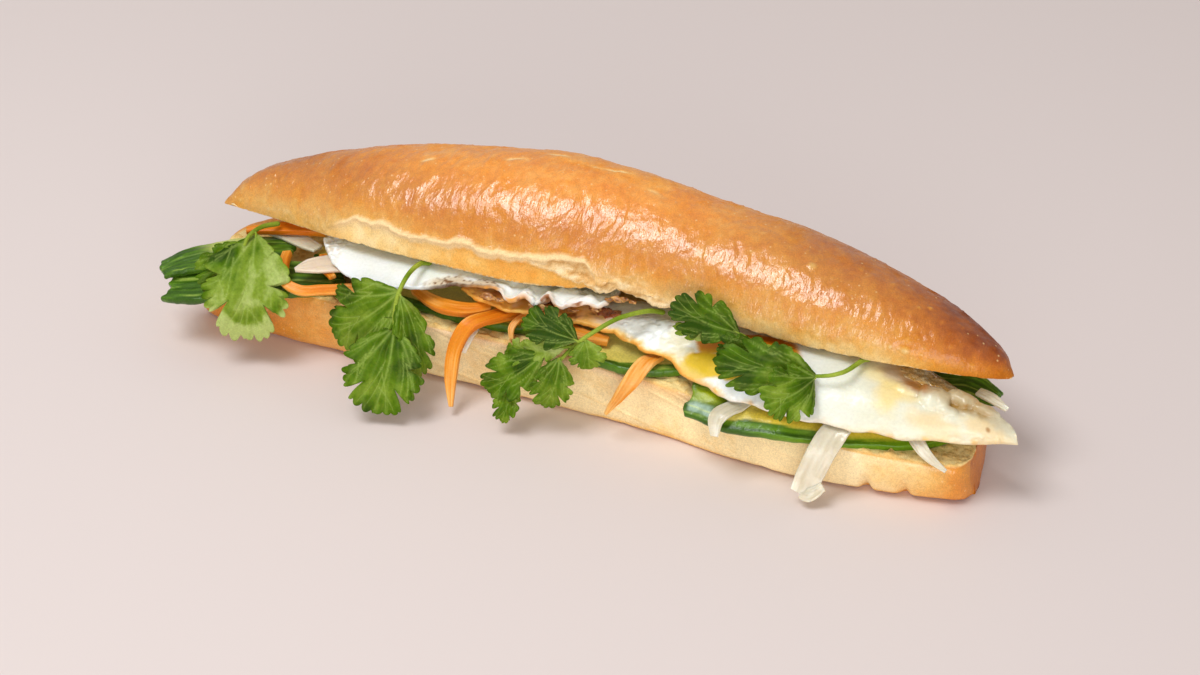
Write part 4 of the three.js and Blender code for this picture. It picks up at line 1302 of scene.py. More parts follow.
DAIKONS = {
    "daikon_left_top": dict(
        path=[[-113, -4.6, 29.6], [-106, -4.8, 29.7], [-99, -6.8, 29.8], [-94, -8.4, 29.8]],
        widths=[3, 5.5, 5.5, 4], across=[[0.2, 1, 0], [0, 1, 0]], thick=1.1),
    "daikon_left_tip": dict(
        path=[[-95.4, -22, 29.6], [-91.4, -18.8, 30.2], [-84, -14, 30.1], [-75, -10, 29.9]],
        widths=[1.4, 6.5, 8.5, 6], across=[[-0.5, 1, 0.2], [-0.3, 1, 0]], thick=1.1),
    "daikon_right_folded": dict(
        path=[[60.6, -25.8, 24.85], [56.8, -30.4, 23.6], [52.8, -37, 22.3],
              [53.2, -40.2, 17.6]],
        widths=[3, 5.2, 5.2, 2.4], across=[[1, 0.5, 0], [1, 0.2, 0]], thick=0.9),
    "daikon_wide": dict(
        path=[[89.4, -25, 23], [87.4, -30, 21.7], [85.4, -34.2, 17.8], [82.6, -38, 9.4],
              [80.8, -40.6, 4.4]],
        widths=[7, 8.4, 8.6, 8.2, 6.4], across=[[1, 0.3, 0], [1, 0.25, 0.2]], thick=1),
    "daikon_thin": dict(
        path=[[107, -18, 20.8], [110.6, -23.4, 21], [115, -26.4, 18.6], [121.6, -28, 15.4]],
        widths=[3, 4.4, 3.4, 1.2], across=[[1, 0.3, 0], [0.6, 0.5, 0.5]], thick=1.3),
    "daikon_end": dict(
        path=[[123, -2.6, 28.2], [128, -4.4, 28], [133.4, -6.8, 27]],
        widths=[3, 3.6, 1.6], across=[[0, 1, 0.2], [0, 1, 0.2]], thick=1),
}
DAIKON_TURN = dict(
    path=[[80.8, -40.2, 4.6], [83.4, -40.4, 4.6], [87.4, -38.4, 7.4]],
    widths=[3.4, 4.4, 3], across=[[0.3, 0.5, 0.8], [-0.4, 0.5, 0.8]], thick=1)
DAIKON_SMALL = dict(  # a small tip that looks out beside the hanging carrot
    path=[[-33.6, -20.6, 22.2], [-34.2, -24.2, 21.7], [-35, -26.2, 19.8], [-35.4, -27, 16.8]],
    widths=[2.8, 3.6, 3.8, 2.4], across=[[1, 0.2, 0], [1, 0.2, 0]], thick=0.8)
print(len(CARROTS), "carrot and", len(DAIKONS), "daikon shreds, and two small ends")

# %% [markdown]
# ### The shreds, made
# Fibres run along a shred, so the noise is drawn out along s. Daikon lets light in, which
# is what the subsurface scattering is for.

# %% Build the shreds
carrot_material = food_material(
    "carrot", 0.38, specks=[(0.6, 0.06, 0.06)], pores=[(0.7, 0.06, 1)],
    coat=(0.1, 0.3), subsurface=0.2, gloss=0.25,
)
daikon_material = food_material(
    "daikon", 0.30, specks=[(0.7, 0.03, 0.03)], pores=[(0.8, 0.05, 1)],
    coat=(0.4, 0.15), subsurface=0.5,
)
CARROT_RAW = [(0, seen(216, 114, 14)), (0.5, seen(230, 142, 34)), (1, seen(246, 186, 104))]
DAIKON_RAW = [(0, seen(200, 188, 160)), (0.5, seen(214, 204, 180)), (1, seen(236, 230, 212))]
# How pale a shred is: the thin ones let the light through.
PALE_SHREDS = {"carrot_pointed": 0.3, "carrot_thin": 0.4, "carrot_left_top": -0.3,
               "daikon_small_tip": 0.5}
SHRED_CELLS, SHRED_EDGE = (120, 60), 0.2


def make_shred(name, shred, raw, seed):
    """One shred, with fibres along it and a slightly uneven cut."""
    def relief(points, at):
        lines = grain(spots(at.s * 4, at.t * 6), 1, seed, 2)
        depth = 0.06 if raw is CARROT_RAW else 0.09
        return depth * lines + 0.16 * grain(points, 4.5, seed + 2, 2)

    piece, at = make_slab(f"{name}_shred", band(**shred), lambda s, t: shred["thick"],
                          SHRED_CELLS, SHRED_EDGE, relief)
    fibre = grain(spots(at.s * 3, at.t * 9), 1.0, seed + 3, 2)
    pale = PALE_SHREDS.get(name, 0.0) + 0.25 * rise(at.s, 0.8, 1)
    shade = 0.42 + 0.26 * fibre + 0.16 * grain(at.points, 7, seed + 4) + pale
    tint = spectrum(shade, raw)
    if name == "daikon_left_tip":
        tint = layered(tint, (seen(246, 214, 192), 0.55))
    dress(piece, at.points, tint)
    return piece


for slot, shreds, raw, material, seed in [
        ("carrot", CARROTS, CARROT_RAW, carrot_material, 100),
        ("daikon", DAIKONS, DAIKON_RAW, daikon_material, 200)]:
    for i, (name, shred) in enumerate(shreds.items()):
        finish_piece(make_shred(name, shred, raw, seed + 10 * i), slot, material, name)
for name, shred, seed, nodes in [("daikon_turned_tip", DAIKON_TURN, 290, ["daikon_wide"]),
                                 ("daikon_small_tip", DAIKON_SMALL, 296, [])]:
    finish_piece(make_shred(name, shred, DAIKON_RAW, seed), "daikon", daikon_material, *nodes)

# %% [markdown]
# ## Two fried eggs
# A fried egg is a slab that drapes: firm white, thin at the rim, where hot oil crisps it
# brown and lacy. The left one is folded and ruffles along its edge. The right one keeps a
# soft yolk that has broken and runs down to the front. Each sheet spans from a front curve
# to a back curve, and heights says how far its middle rises between them.

# %% The egg sheets
EGG_THICK, EGG_RIM_THICK, EGG_EDGE = 3.2, 1.4, 0.8
EGG_LEFT_CELLS, EGG_RIGHT_CELLS = (330, 160), (440, 200)
EGG_LEFT = dict(
    front=[[-92, -8.5, 34], [-86, -16, 32.2], [-76, -22.5, 31.2], [-61, -24, 32.4],
           [-48, -21.6, 34], [-38, -19.5, 36.4], [-27, -20, 37.6], [-17, -20.8, 37.6],
           [-8, -18.4, 37.8], [2, -17.6, 37.8], [8.5, -13.5, 38]],
    back=[[-88, 2, 30.4], [-70, 8, 28.6], [-40, 9, 28.4], [-10, 8, 28.8], [6, 2, 31.4]],
    heights=[0.6, 2.2, 3, 1.6, 0.2, 0, 0],
    ruffle=dict(count=9, depth=1.7, start=0.6, at=0.8, reach=0.2, out=0.9))
EGG_RIGHT = dict(
    front=[[-41, -15, 31.4], [-32, -19.5, 31.4], [-18.5, -20.4, 31.4], [-5.5, -19, 31.4],
           [5.5, -18, 30.6], [14, -19, 29.8], [22, -21.4, 28.6], [37, -26, 27],
           [52, -31.5, 25.3], [64.5, -32, 24.6], [83, -31.4, 23.4], [101, -28.6, 22.6],
           [118, -24.4, 22.4], [132, -20, 22.6], [140, -17, 23]],
    back=[[-38, 0, 28], [-10, 5, 25], [20, 8, 25.6], [50, 8, 27.5], [80, 7, 27.5],
          [104, 1, 30], [119, -6, 29.4], [131, -11.5, 28], [137.5, -14, 25.8]],
    heights=[1.2, 1.8, 1.4, 5.2, 8.2, 5.4, 3.4, 0.6],
    ruffle=dict(count=13, depth=0.35, start=0, at=0.6, reach=0.5, out=0))


def egg_sheet(front, back, heights, ruffle, lace):
    front_curve, back_curve = smooth_path(front), smooth_path(back)

    def middle(s, t):
        nibble = lace * np.clip(0.4 + 0.6 * grain(spots(s * 180), 7, 301, 3), 0, 1)
        t = t + (1 - t) * nibble * 0.028
        point = front_curve(s) * (1 - t[:, None]) + back_curve(s) * t[:, None]
        (height,) = values_at(spaced(heights), s)
        point[:, 2] += 4 * height * t * (1 - t) * (1.35 - 0.7 * t)
        phase = ruffle["count"] * 2 * np.pi * (s + 0.02 * np.sin(17 * s)) + ruffle["start"]
        share = fall(t, 0, 0.35) * bump(s, ruffle["at"], ruffle["reach"])
        wave = ruffle["depth"] * np.sin(phase) * share
        point[:, 2] += wave
        point[:, 1] += 0.5 * wave - ruffle["out"] * share
        return point

    return middle


def egg_thickness(s, t):
    inland = np.minimum(np.minimum(t, 1 - t), 2 * np.minimum(s, 1 - s))
    return EGG_RIM_THICK + (EGG_THICK - EGG_RIM_THICK) * rise(inland, 0, 0.3)


print("an egg is", egg_thickness(np.array([0.5]), np.array([0.5]))[0], "mm thick inside")

# %% [markdown]
# ### Egg colours
# White of egg isn't pure white: it shades to warm grey where it is thin, to gold and brown
# where it fried, and the yolk is duller in gloss than wet white.

# %% Egg colours
egg_material = food_material(
    "fried_egg", 0.36, specks=[(0.9, 0.05, 0.03)], pores=[(0.6, 0.05, 1), (1.8, 0.08, 1)],
    coat=(0.4, 0.12), subsurface=0.15, matt=0.55,
)
EGG_WHITE, EGG_SHADE = seen(246, 251, 252), seen(230, 233, 220)
GOLDEN, CRISP, DARK_CRISP = seen(246, 196, 92), seen(228, 154, 52), seen(150, 88, 32)
# the deeper yolk colour is partly the yolk's own, partly painted shade under the upper half
YOLK, YOLK_DEEP_AND_SHADED = seen(226, 188, 0), seen(216, 130, 0)

# %% [markdown]
# ### The left egg
# Its ruffle is crumpled and burnt brown in the middle, and crisp underneath at the right.

# %% Build the left egg


def left_relief(points, at):
    ruffled, lace = rise(points[:, 0], -34, -24), fall(points[:, 0], -86, -80)
    push = lumps(points, (0.14, 8, 361, 2), (0.05, 2, 362, 2))
    push += ruffled * 0.9 * grain(points, 3.6, 363, 2) + lace * 0.6 * grain(points, 1.8, 364, 2)
    return push + 0.22 * grain(points, 1.5, 365, 2) * fall(at.rim, 0.3, 2.4)


def make_egg_left():
    piece, at = make_slab("egg_left_sheet", egg_sheet(**EGG_LEFT, lace=0.8), egg_thickness,
                          EGG_LEFT_CELLS, EGG_EDGE, left_relief)
    points, rim, x = at.points, at.rim, at.points[:, 0]
    lace = fall(x, -87, -80) * np.clip(0.4 + grain(points, 1.6, 372, 2), 0, 1)
    burnt = rise(x, -53, -46) * fall(x, -30, -23)
    burnt = burnt * fall(rim + 1.2 * grain(points, 2.4, 373, 2), 2.0, 4.6)
    below = np.where(at.upper, fall(rim, 0, 0.5), 1) * rise(x, -44, -30)
    tint = layered(
        EGG_WHITE, (EGG_SHADE, 0.2 + 0.4 * grain(points, 7, 371, 3)),
        (seen(204, 178, 140), lace * 0.6), (seen(206, 184, 150), burnt * 0.8),
        (seen(124, 86, 50), burnt * rise(grain(points, 1.1, 374, 2), 0.0, 0.5)),
        (seen(70, 44, 24), burnt * fall(rim, 0.1, 0.9) * 0.8),
        (CRISP, below * (0.6 + 0.5 * grain(points, 3, 375, 2))),
        (DARK_CRISP, below * rise(grain(points, 2.6, 376, 2), 0.1, 0.7)))
    dress(piece, points, tint, burnt + 0.6 * below)
    finish_piece(piece, "egg", egg_material, "egg_left")


make_egg_left()

# %% [markdown]
# ### Stains and folds of the right egg
# Its white is stained in soft ragged patches: oil, crumb and sauce below, and spots of
# filling that show through. At its right end it puffed up into folds; two grey-brown patches
# over them are painted shade.

# %% Patches and puffs


def patch(points, x, y, rx, ry, ragged=0.0, seed=0):
    """1 inside a soft ragged patch about (x, y), 0 outside."""
    d = np.hypot((points[:, 0] - x) / rx, (points[:, 1] - y) / ry)
    return fall(d + ragged * grain(points, 3.5, seed, 3), 0.35, 1.25)


# Stains and fillings of the right egg, and painted shade over its puffs: [colour, x, y,
# half length, half width, ragged, share].
EGG_PATCHES = [
    [seen(214, 212, 204), 14, -12, 17, 9, 0.25, 0.7],
    [seen(240, 224, 170), 33, -17, 6, 7, 0.5, 0.5],
    [seen(232, 208, 160), 92, -8, 18, 5, 0.3, 0.55],
    [seen(250, 216, 110), 100.5, -19.5, 4.5, 7, 0.2, 0.6],
    [seen(250, 222, 130), 97, -14.5, 8, 4, 0.2, 0.5],
    [seen(250, 216, 120), 106, -18.6, 5, 2.6, 0.2, 0.5],
    # painted shade: the next two patches darken the lit puffed folds, and are not stains
    [seen(196, 172, 146), 102, -10, 9, 6, 0.2, 0.9],
    [seen(190, 168, 126), 122, -13.4, 18, 6.4, 0.2, 0.95],
    [seen(226, 176, 100), 108, -7.4, 9, 5, 0.3, 0.9],
    [seen(164, 104, 40), 107.6, -13.4, 6.5, 4, 0.35, 0.95],
    [seen(182, 140, 70), 117.5, -9.4, 10, 3, 0.4, 0.9],
    [seen(202, 164, 110), 126.5, -11.6, 6, 2.4, 0.4, 0.85],
    [seen(236, 206, 148), 116, -23.4, 9, 3, 0.3, 0.7],
    [seen(238, 208, 152), 130, -19.5, 8, 2.4, 0.4, 0.7],
    [seen(170, 112, 40), 131, -19, 0.8, 0.6, 0.2, 0.8],
]
EGG_PUFFS = [
    [113.5, -15.6, 4.8, 4.2, 2.4], [121, -12.6, 5.6, 3, 2.1], [128, -13.4, 4.6, 2.2, 1.4],
    [105.6, -15.8, 4, 2.4, 0.9], [118, -18.6, 3.6, 1.8, 0.9],
]


def puffs_at(points):
    """Height of the puffed folds. They meet in sharp creases, where sauce gathers; their brown
    paint is partly that sauce, partly painted shade.
    """
    height = np.zeros(len(points))
    for x, y, rx, ry, top in EGG_PUFFS:
        d2 = ((points[:, 0] - x) / rx) ** 2 + ((points[:, 1] - y) / ry) ** 2
        d2 = d2 * (1 + 0.25 * grain(points, 2.6, 319))
        height = np.maximum(height, top * np.sqrt(np.clip(1 - d2, 0, 1)))
    return height


def between_puffs(points):
    """1 in the creases round the puffed folds, 0 on them and away from them."""
    region = rise(points[:, 0], 106, 110) * fall(points[:, 0], 127, 132)
    region = region * rise(points[:, 1], -18.5, -15)
    return region * fall(puffs_at(points), 0.15, 1.0)


print(len(EGG_PATCHES), "patches and", len(EGG_PUFFS), "puffed folds")

# %% [markdown]
# ### Relief and white of the right egg
# The yolk ran together from four places into one pool, over white that foamed up beside it.
# Most of the relief is on the upper face, since the lower one lies on the fillings.

# %% Relief and white of the right egg
# patches as (x, y, half length, half width, ragged, seed)
FOAM = (37, -20, 6, 7, 0.2, 360)
BUBBLES, YOLK_DOME = (18, -15, 16, 9, 0.2, 311), (50, -20, 17, 9)
CRUMPLED, GLASSY = (116, -13, 19, 8, 0.2, 312), (109, -7, 9, 5, 0.2, 312)
YOLK_POOLS = [(43, -24.4, 8.6, 4.2, 0.12, 346), (58, -18.4, 15, 9.5, 0.15, 347),
              (44.5, -16.5, 6.5, 6, 0.12, 348), (54, -26, 9, 2.4, 0.2, 359)]


def right_relief(points, at):
    """Slow lumps on both faces, and on the upper one what fat and heat did to it."""
    above = patch(points, *BUBBLES) * 0.5 * np.abs(grain(points, 2.8, 315, 2))
    above += 0.5 * patch(points, *YOLK_DOME) + puffs_at(points) - 0.6 * between_puffs(points)
    for place, texture in [(FOAM, (0.25, 1.6, 365, 2)), (CRUMPLED, (0.55, 3.4, 316, 3)),
                           (GLASSY, (0.5, 1.8, 318, 2))]:
        above += patch(points, *place) * lumps(points, texture)
    push = lumps(points, (0.34, 11, 313, 2), (0.06, 2.4, 314, 2)) + at.upper * above
    return push + 0.3 * grain(points, 1.6, 317, 2) * fall(at.rim, 0.3, 2.4)


def right_white(points, up):
    """The white with its stains, bubbles and creases, and the yolk over it."""
    x, y = points[:, 0], points[:, 1]
    stains = [(colour, share * patch(points, *place, 330 + i))
              for i, (colour, *place, share) in enumerate(EGG_PATCHES)]
    bubbles = np.clip(grain(points, 1.9, 345, 2) - 0.45, 0, 1) * patch(points, 18, -12, 15, 9)
    # the creases are painted brown: partly sauce gathered there, partly painted shade
    crease = between_puffs(points) * up * (0.9 + 0.6 * grain(points, 2, 357, 2))
    pool = np.max([patch(points, *place) for place in YOLK_POOLS], axis=0)
    pool = rise(pool, 0.2, 0.6) * up
    foam = up * patch(points, *FOAM) * (1 - pool)
    tint = layered(
        EGG_WHITE, (EGG_SHADE, 0.3 + 0.5 * grain(points, 8, 321, 3)),
        (seen(224, 219, 190), 0.85 * rise(x, 58, 104)), *stains,
        (seen(166, 160, 146), bubbles * 1.6), (seen(166, 124, 48), crease),
        (seen(226, 214, 170), foam * (0.5 + 0.6 * grain(points, 1.6, 365, 2))),
        # deeper orange towards the back: partly the yolk's own colour, partly painted shade
        # under the upper half
        (YOLK, pool), (YOLK_DEEP_AND_SHADED, pool * rise(y, -22.5, -18.5)),
        (seen(190, 112, 14), pool * patch(points, 42, -16.5, 6, 5, 0.3, 349) * 0.8))
    return tint, pool


print(len(YOLK_POOLS), "places of yolk")

# %% [markdown]
# ### The right egg
# The rim fried golden, strongly on the left and in faint spots further right, and the part
# under the left egg fried brown all over.

# %% Build the right egg


def make_egg_right():
    piece, at = make_slab("egg_right_sheet", egg_sheet(**EGG_RIGHT, lace=1.0), egg_thickness,
                          EGG_RIGHT_CELLS, EGG_EDGE, right_relief)
    points, t, x = at.points, at.t, at.points[:, 0]
    tint, pool = right_white(points, at.upper)
    rim, front = at.rim + 0.7 * grain(points, 2.2, 351, 3), t < 0.5
    strength = 1 - 0.88 * rise(x, 36, 56)
    faint = np.clip(grain(points, 3, 358, 2) - 0.2, 0, 1) * (1 - strength)
    gold = front * fall(rim, 0.5, 2.5)
    fried = fall(x + 3 * grain(points, 6, 352), -2, 16)
    fried = fried * fall(t + 0.05 * grain(points, 5, 353), 0.2, 0.42)
    tint = layered(
        tint, (seen(246, 222, 164), front * fall(rim, 1.0, 4.0) * 0.5 * strength),
        (GOLDEN, gold * (0.95 * strength + faint)),
        (CRISP, front * fall(rim, 0.2, 1.2) * (0.85 * strength + 0.5 * faint)),
        (CRISP, fried * (0.9 + 0.2 * grain(points, 3, 354, 2))),
        (GOLDEN, fried * np.clip(0.3 + grain(points, 3.2, 355, 3), 0, 1) * 0.9),
        (DARK_CRISP, fried * np.clip(grain(points, 2.4, 356, 3) - 0.2, 0, 1) * 1.6))
    dress(piece, points, tint, 0.2 * fried + 0.4 * gold * strength + 0.9 * pool)
    finish_piece(piece, "egg", egg_material, "egg_right")
    return points[at.upper]


egg_top = make_egg_right()

# %% [markdown]
# ## A flat disc of rings
# A drop of sauce and a leaflet both start as a disc. A circle is extruded inwards again and
# again, and the last small hole is filled with a fan of triangles. The rings lie closer
# together near the rim, where the outline needs its detail.

# %% A flat disc
RING_CROWDING = 0.85


def flat_disc(name, rings, around):
    """A flat disc of radius 1: its rim extruded inwards ring by ring, then closed."""
    alone()
    bpy.ops.mesh.primitive_circle_add(vertices=around, radius=1, fill_type="NOTHING")
    piece = bpy.context.object
    piece.name = piece.data.name = name
    bpy.ops.object.mode_set(mode="EDIT")
    bpy.ops.mesh.select_all(action="SELECT")
    radius = 1.0
    for ring in range(rings - 1, 0, -1):
        smaller = (ring / rings) ** RING_CROWDING
        bpy.ops.mesh.extrude_edges_move()
        bpy.ops.transform.resize(value=(smaller / radius,) * 3)
        radius = smaller
    bpy.ops.mesh.edge_face_add()
    bpy.ops.mesh.poke()
    bpy.ops.mesh.select_all(action="SELECT")
    bpy.ops.mesh.normals_make_consistent(inside=False)
    bpy.ops.object.mode_set(mode="OBJECT")
    return piece, flat_points(piece)


print("the outermost ring is", round(1 - (21 / 22) ** RING_CROWDING, 3), "of the radius wide")

# %% [markdown]
# ## Thin sauce
# Sauce lies on the right egg in two places: clear amber where it ran together under the
# right end of the roll, and dark red-brown in the fold beside the left egg. Each is a disc
# laid on the egg: every point takes the height of the nearest point of the egg's top, and
# the film bulges a little over it, as a drop does. Solidify closes it underneath.

# %% Sauce on the egg
# [name, x, y, half length, half width, bulge, dark colour, pale colour]
SAUCES = [
    ["amber_sauce", 107, -7.6, 8, 4.6, 0.8, seen(240, 188, 98), seen(255, 244, 204)],
    ["dark_sauce", 7.2, -10.6, 5, 2.8, 0.5, seen(176, 74, 34), seen(232, 150, 96)],
]
sauce_material = food_material(
    "thin_sauce", 0.08, specks=[(0.9, 0.1, 0.15)], pores=[(1.0, 0.45, 1)],
    coat=(1.0, 0.03), clear=0.4,
)
FILM_THICK = 0.3


def make_sauce(name, x, y, half_length, half_width, bulge, dark, pale, seed):
    piece, disc = flat_disc(name, 22, 120)
    angle = np.arctan2(disc[:, 1], disc[:, 0])
    ragged = 1 + 0.35 * grain(spots(np.cos(angle), np.sin(angle)) * 3, 1.4, seed, 3)
    flat_x = x + half_length * disc[:, 0] * ragged
    flat_y = y + half_width * disc[:, 1] * ragged
    near = egg_top[(np.abs(egg_top[:, 0] - x) < half_length * 2)
                   & (np.abs(egg_top[:, 1] - y) < half_width * 2.5)]
    nearest = [np.argmin((near[:, 0] - px) ** 2 + (near[:, 1] - py) ** 2)
               for px, py in zip(flat_x, flat_y)]
    points = np.stack([flat_x, flat_y, near[nearest, 2]], 1)
    thick = 0.6 + 0.8 * np.clip(grain(points, 2.2, seed + 1, 2), -0.4, 1)
    share = np.hypot(disc[:, 0], disc[:, 1])
    points[:, 2] += 0.12 + bulge * np.sqrt(np.clip(1 - share**2, 0, 1)) * thick
    set_points(piece, points)
    shade = 0.35 + 0.7 * grain(points, 3, seed + 2, 3)
    paint(piece, "tint", spectrum(shade, [(0, dark), (1, pale)]))
    thicken(piece, FILM_THICK, -1)
    bpy.ops.object.shade_smooth()
    finish_piece(piece, "egg", sauce_material)


for i, row in enumerate(SAUCES):
    make_sauce(*row, 390 + 3 * i)

# %% [markdown]
# ## Crisp bits
# Hot oil breaks small brown lumps off an egg's rim. They cling under the ruffled fold and
# in the gap beside it. Each is an ico sphere with a rough surface, and all are joined.

# %% Crisp bits
CRISP_BITS = [  # [x, y, z, radius]
    [-29, -20.3, 35.0, 1.5], [-25.4, -20.6, 34.9, 1.1], [-14.2, -19.9, 34.8, 1.3],
    [-11.4, -19.2, 34.9, 1.7], [-1.6, -17.6, 35.0, 1.0], [4.4, -15.4, 35.8, 1.5],
    [10.6, -13.4, 39.6, 1.4], [13.4, -13.2, 40.2, 1.2], [15.8, -12.8, 39.8, 0.8],
    [8.2, -13.6, 39.2, 0.9],
]
BROWNS = [(0, seen(96, 50, 18)), (0.5, seen(168, 104, 42)), (1, seen(232, 182, 110))]
STRETCH_FROM, STRETCH_TO = [1.0, 0.5, 0.5], [1.7, 0.8, 0.8]


def make_bits(name, rows, colours, seed):
    """Rough round bits, one for each [x, y, z, radius], joined into one piece."""
    rng = np.random.default_rng(seed)
    bits = []
    for *place, radius in rows:
        alone()
        bpy.ops.mesh.primitive_ico_sphere_add(subdivisions=3, radius=1)
        bit = bpy.context.object
        ball = flat_points(bit)
        stretch = rng.uniform(STRETCH_FROM, STRETCH_TO) * radius
        turned = ball * 3 + rng.uniform(0, 50, 3)
        rough = 1 + lumps(turned, (0.45, 3, seed, 2), (0.2, 1, seed, 1))
        set_points(bit, ball * rough[:, None] * stretch + np.array(place))
        shade = 0.5 + 0.6 * grain(turned, 1.6, seed + 1, 2)
        paint(bit, "tint", spectrum(shade, colours))
        mark(bit, "matt", 0.2 + 0 * shade)
        bits.append(bit)
    return joined(bits, name)


finish_piece(make_bits("crisp_egg_bits", CRISP_BITS, BROWNS, 381), "egg", egg_material)

# %% [markdown]
# ## Cilantro
# A cilantro leaflet is a flat fan, cut into lobes with rounded teeth, and its veins spread
# from its foot. It is made flat first, as a disc of rings. Then each point goes to its
# place on the curved leaf, and Solidify gives the blade its thickness. Stalks are tubes
# along a bent line. A row of leaflets reads [foot, tip, width, turn, arch], and fresh says
# how light each one's green is.

# %% Leaf measures
LEAF_FACE = np.array([0.31, -0.77, 0.56])  # the way most leaflets look
LEAF_TOOTH = 0.125
LEAF_CLEFTS, CLEFT_SHARPNESS = [(0.78, 0.27), (1.62, 0.2)], 0.085  # [(angle, depth), ...]
LEAF_FOOT = 0.5
LEAF_THICK, STEM_RADIUS, PETIOLE_RADIUS = 0.3, 0.85, 0.5
SPRIGS = {
    "cilantro_left_end": dict(
        stalks=[[[-108.2, -6.4, 35], [-111.4, -13, 36.6], [-112.4, -20, 36.8],
                 [-112, -24, 35.6]]],
        leaflets=[
            [[-111.4, -17, 36.9], [-105.6, -38.6, 10.4], 29.5, 4, 7.5],
            [[-112.4, -22, 35.8], [-121, -36, 24], 17, -10, 2.5]],
        fresh=[0.66, 0.3], pale_tip=0.4, dark_left=0.9),
    "cilantro_left": dict(
        stalks=[[[-52, -12.4, 37], [-53.6, -16.6, 39], [-54.4, -24.5, 39.2],
                 [-54.6, -31.4, 36], [-54.8, -34, 30.6], [-54.3, -35.4, 25.4],
                 [-53.6, -38.6, 21]]],
        leaflets=[
            [[-54.4, -30.8, 36.6], [-77, -32, 16.4], 24, 8, 2],
            [[-53.8, -31.6, 36.4], [-45.6, -36, 10], 13, -16, 2],
            [[-54.3, -35, 27], [-54.4, -52, 4.8], 27, 4, 2]],
        fresh=[0.44, 0.42, 0.36]),
    "cilantro_centre": dict(
        stalks=[
            [[25, -9, 35.7], [22.2, -13.4, 38.4], [14.8, -22, 39], [8.1, -28.4, 35.4],
             [3.6, -30, 31], [-0.6, -33, 25.6]],
            [[3.6, -30, 31], [-3, -32, 29.6], [-10, -33.6, 25], [-14.5, -36, 17]]],
        leaflets=[
            [[5, -30, 33], [-13.6, -28.4, 36.4], 14, 16, 1],
            [[1, -31, 30.4], [-12, -32.6, 28.6], 9, -16, 1],
            [[7, -29.2, 34], [9.4, -31.6, 25], 12, 10, 1],
            [[-9, -33.6, 26.4], [-19.6, -31, 23.4], 10, 24, 1],
            [[-5, -33, 27.6], [-22.4, -38.6, 13.4], 16, 4, 1.5],
            [[0, -32.8, 27.4], [-3.2, -37.6, 11.6], 14, -10, 1.5],
            [[-13.6, -35.8, 18], [-15.8, -42, 5.2], 9, 16, 1]],
        fresh=[0.08, 0.8, 0.4, 0.7, 0.25, 0.4, 0.45]),
    "cilantro_right_upper": dict(
        stalks=[[[69, -16.4, 38.2], [63, -18.8, 38.8], [58, -20.4, 40.4], [53, -20.4, 42.4]]],
        leaflets=[
            [[54, -20.6, 42.2], [32, -23.9, 49.8], 15, 10, 1],
            [[59, -20.8, 40.2], [48.6, -27.4, 37.6], 12, -10, 0.6],
            [[51, -21.2, 42.6], [33.6, -25, 42.4], 7, -14, 0.5]],
        fresh=[0.08, 0.12, 0.6]),
    "cilantro_right_lower": dict(
        stalks=[[[91.2, -10.4, 36.6], [90.2, -13.6, 38], [87, -22.4, 38.5], [83, -25, 37.8],
                 [78.6, -25.8, 37]]],
        leaflets=[
            [[80, -25.6, 37.2], [48.5, -30.4, 37.6], 18, 10, 1],
            [[79.6, -25.8, 37], [68.2, -39.6, 32.4], 19, -12, 1.6]],
        fresh=[0.26, 0.4]),
}
print(len(SPRIGS), "sprigs,", sum(len(p["leaflets"]) for p in SPRIGS.values()), "leaflets")

# %% [markdown]
# ### Blanks
# The discs are made once, in three sizes, and copied for each leaflet: a larger leaflet
# needs more points along its rim for its teeth.

# %% Leaf blanks
LEAF_BLANKS = [  # [widest leaflet it serves, blank]
    [12.5, flat_disc("leaf_small", 14, 150)], [18.5, flat_disc("leaf_middle", 18, 180)],
    [99, flat_disc("leaf_large", 28, 240)],
]
print("leaf blanks:", [len(blank[1]) for _, blank in LEAF_BLANKS], "points")

# %% [markdown]
# ### Outline
# A leaflet's rim is cut twice on each side into lobes, and each lobe ends in rounded
# fingers with narrow notches between them. Both are written as a share of the rim's
# distance from the middle.

# %% Leaf outline


def leaf_envelope(angle, length, width):
    """Where the rim lies at an angle about the middle, before it is cut into lobes."""
    ahead = np.cos(angle)
    outward = np.where(ahead > 0, np.abs(np.sin(angle)) ** 0.85, 1 - np.abs(ahead) ** 1.8)
    half = np.where(ahead > 0, 1 - LEAF_FOOT, LEAF_FOOT)
    return length * half * ahead, np.sign(np.sin(angle)) * (width / 2) * outward


def leaf_fingers(width):
    return round(12 + width * 0.62)


def leaf_cut(angle, width, seed):
    """How far in the rim is cut at an angle, as a share: lobes, then fingers."""
    turned = np.abs((angle + np.pi) % (2 * np.pi) - np.pi)
    side = np.where(angle < np.pi, 1.0, -1.0)
    cut = 0.0
    for k, (at, depth) in enumerate(LEAF_CLEFTS):
        shift = 0.08 * np.sin(seed * 1.7 + k * 2.1 + side * 1.3)
        cut = cut + depth * 1.7 * bump(turned, at + shift, CLEFT_SHARPNESS)
    fingers = leaf_fingers(width)
    wave = np.abs(np.cos(fingers / 2 * (angle + 0.05 * np.sin(3 * angle + seed))))
    size = LEAF_TOOTH * (1.15 + 0.45 * np.sin(5 * angle + seed * 0.9))
    toothed = rise(np.pi - turned, 0.15, 0.75)
    cut = cut + size * (1 - wave**0.4) * toothed
    swell = 0.05 * uneven(angle * 2, width)
    return np.clip(cut - swell, -0.1, 0.5)


def rim_at(angle, length, width, seed, share):
    """A point of the rim, in millimetres (along, across) from the foot."""
    angle = np.array([angle % (2 * np.pi)])
    ahead, side = leaf_envelope(angle, length, width)
    reach = (1 - leaf_cut(angle, width, seed)) * share
    return np.array([length * LEAF_FOOT + ahead[0] * reach[0], side[0] * reach[0]])


